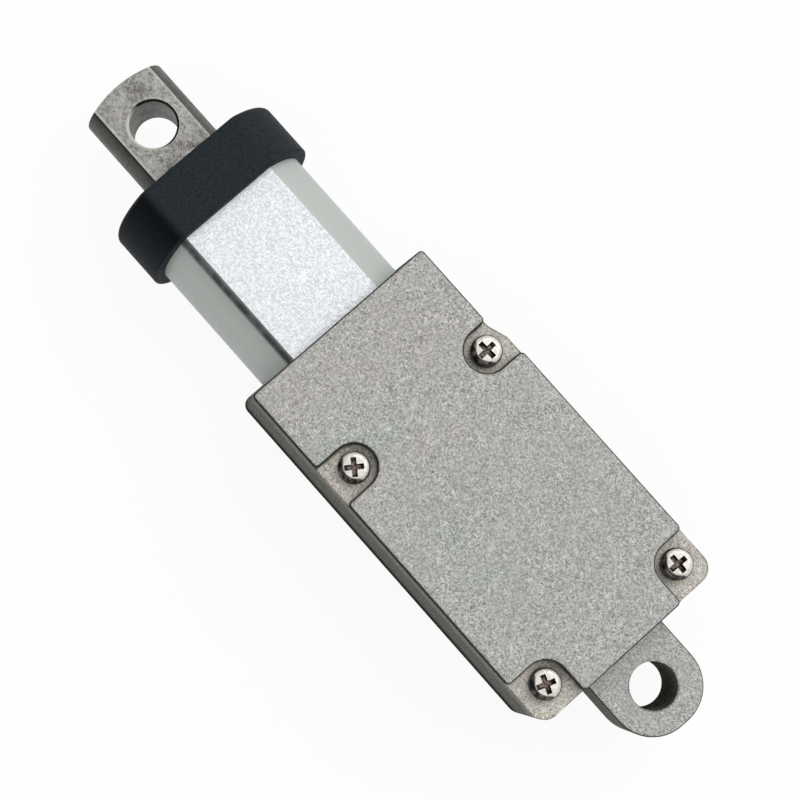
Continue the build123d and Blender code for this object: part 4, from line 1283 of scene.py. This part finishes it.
class Unit:
    """A sub-assembly that keeps the CAD's shapes and gets its finishes here."""

    finishes: ClassVar[dict[Finishes, tuple[str, ...]]] = {}

    def dress(self) -> None:
        """Gives each node of the unit its finish."""
        for finish, nodes in self.finishes.items():
            finish.dress(*nodes)


class Case(Unit):
    """Die-cast gearcase: base, cover and cable entry."""

    finishes = {
        Finishes.DIE_CAST_ZINC: ("housing_base", "housing_cover"),
        Finishes.SEAL_RUBBER: ("cable_grommet",),
    }


class GuideTube(Unit):
    """Guide tube, its cap and what guides the rod."""

    finishes = {
        Finishes.BEAD_BLASTED: ("guide_tube",),
        Finishes.BLACK_ANODISED: ("tube_cap",),
        Finishes.SEAL_RUBBER: ("rod_wiper",),
        Finishes.SINTERED_BRONZE: ("front_bush",),
    }


class OutputRod(Unit):
    """Rod with its eye, the nut and the slider."""

    finishes = {
        Finishes.TURNED_STEEL: ("rod",),
        Finishes.BRASS_GEAR: ("drive_nut",),
        Finishes.ACETAL: ("rod_slider",),
    }


class MotorUnit(Unit):
    """Flat-sided brushed motor."""

    finishes = {
        Finishes.MOTOR_STEEL: ("motor_can",),
        Finishes.BLACK_PLASTIC: ("motor_end_cap",),
        Finishes.FERRITE: ("motor_magnets",),
        Finishes.SINTERED_BRONZE: ("motor_bushes",),
        Finishes.COPPER: ("motor_brushes", "motor_terminals", "commutator"),
        Finishes.LEAD_INSULATION: ("motor_leads",),
        Finishes.NICKEL_STEEL: ("motor_screws",),
        Finishes.GROUND_STEEL: ("motor_shaft",),
        Finishes.SILICON_STEEL: ("armature_core",),
        Finishes.ENAMELLED_COPPER: ("armature_windings",),
    }


class GearTrain(Unit):
    """Spur gears between two plates."""

    finishes = {
        Finishes.BRASS_GEAR: ("motor_pinion", "gear_cluster_1", "gear_cluster_2",
                              "gear_cluster_3", "output_gear"),
        Finishes.PLATED_PLATE: ("gearbox_rear_plate", "gearbox_front_plate", "gearbox_posts"),
        Finishes.GROUND_STEEL: ("layshaft_pin", "output_shaft"),
        Finishes.SINTERED_BRONZE: ("output_bush",),
    }


class ScrewDrive(Unit):
    """Lead screw, its coupling and its ball bearing."""

    finishes = {
        Finishes.GROUND_STEEL: ("lead_screw", "shaft_coupling"),
        Finishes.BEARING_STEEL: ("bearing_outer_race", "bearing_inner_race", "bearing_balls"),
        Finishes.CAGE_POLYMER: ("bearing_cage",),
        Finishes.PLATED_PLATE: ("bearing_retainer",),
    }


class LimitSwitches(Unit):
    """Board with two plunger switches."""

    finishes = {
        Finishes.BOARD_LAMINATE: ("limit_board",),
        Finishes.BLACK_PLASTIC: ("limit_switches", "rear_plunger", "front_plunger"),
    }


# Surroundings

@dataclass(frozen=True)
class Lamp:
    """Soft square lamp: its centre, its edge in metres and its power in watts."""

    place: Place
    size: float
    power: float

    def add(self, aim: Vector) -> None:
        """Adds the lamp.

        Args:
            aim: The point that it looks at.
        """
        bpy.ops.object.light_add(type="AREA", location=self.place)
        lamp = bpy.context.object
        lamp.data.size = self.size
        lamp.data.energy = self.power
        lamp.rotation_euler = (aim - Vector(self.place)).to_track_quat("-Z", "Y").to_euler()


@dataclass
class Studio:
    """Pale floor, soft lamps and the camera."""

    centre: Place = (30.0 * MM, 0.0, 0.0)
    floor_height: float = -7.5 * MM
    floor_size: float = 1.6
    paper: tuple[Colour, Colour] = ((0.80, 0.80, 0.80), (0.84, 0.84, 0.84))
    fibre_scale: float = 400.0
    fibre_detail: float = 3.0
    white: Colour = (1.0, 1.0, 1.0)
    shown: float = 0.92
    sky: float = 0.32
    lamps: tuple[Lamp, ...] = (
        Lamp((0.03, -0.30, 0.42), 0.50, 1.82),
        Lamp((-0.10, 0.25, 0.45), 0.45, 0.65),
    )
    camera_place: Place = (0.022854, 0.016577, 0.149126)
    camera_turn: Place = (6.7036, -2.7502, -131.6066)
    lens: float = 80.56
    sensor: float = 36.0
    nearest: float = 0.001
    farthest: float = 10.0

    def build(self) -> None:
        """Makes floor, world, lamps and camera."""
        self.add_floor()
        self.set_world()
        for lamp in self.lamps:
            lamp.add(Vector(self.centre))
        self.add_camera()
        bpy.context.scene.view_settings.view_transform = "Standard"

    def add_floor(self) -> None:
        """Adds the floor, white to the camera, which still takes the shadow."""
        bpy.ops.mesh.primitive_plane_add(size=self.floor_size,
                                         location=(self.centre[0], 0.0, self.floor_height))
        floor = bpy.context.object
        floor.name = "floor"
        floor.data.materials.append(self.floor_paper())

    def floor_paper(self) -> bpy.types.Material:
        """Makes the floor's material.

        Returns:
            Paper that glows white to the camera and is plain to the other rays.
        """
        material = bpy.data.materials.new("floor_paper")
        graph = Graph.fresh(material)
        fibre = graph.noise(graph.place(), self.fibre_scale, self.fibre_detail)
        seen = graph.seen()
        tone = graph.blend(seen, graph.blend(fibre, *self.paper), self.white)
        paper = graph.add("BsdfDiffuse", {"Color": tone})[0]
        glow = graph.add("Emission")[0]
        mixed = graph.add("MixShader", {0: graph.times(seen, self.shown), 1: paper, 2: glow})
        graph.add("OutputMaterial", {"Surface": mixed[0]})
        return material

    def set_world(self) -> None:
        """Makes a world that is white where it is seen and softer as a light."""
        world = bpy.data.worlds.new("studio")
        bpy.context.scene.world = world
        graph = Graph.fresh(world)
        light = graph.span(graph.seen(), 0.0, 1.0, self.sky, 1.0)
        sky = graph.add("Background", {"Color": self.white, "Strength": light})
        graph.add("OutputWorld", {"Surface": sky[0]})

    def add_camera(self) -> None:
        """Adds the camera at the photograph's place."""
        bpy.ops.object.camera_add(location=self.camera_place)
        camera = bpy.context.object
        camera.rotation_euler = Euler([math.radians(turn) for turn in self.camera_turn], "XYZ")
        camera.data.lens = self.lens
        camera.data.sensor_width = self.sensor
        camera.data.clip_start = self.nearest
        camera.data.clip_end = self.farthest
        bpy.context.scene.camera = camera


def main() -> None:
    """Builds the studio, dresses the nodes and adds the pieces."""
    logging.basicConfig(level=logging.INFO, format="%(name)s %(message)s")
    Studio().build()
    for unit in (Case(), GuideTube(), OutputRod(), MotorUnit(), GearTrain(), ScrewDrive(),
                 LimitSwitches()):
        unit.dress()
    for piece in CoverScrews().build():
        LOG.info("piece %s: %d faces", piece.name, len(piece.data.polygons))


if __name__ == "__main__":
    main()
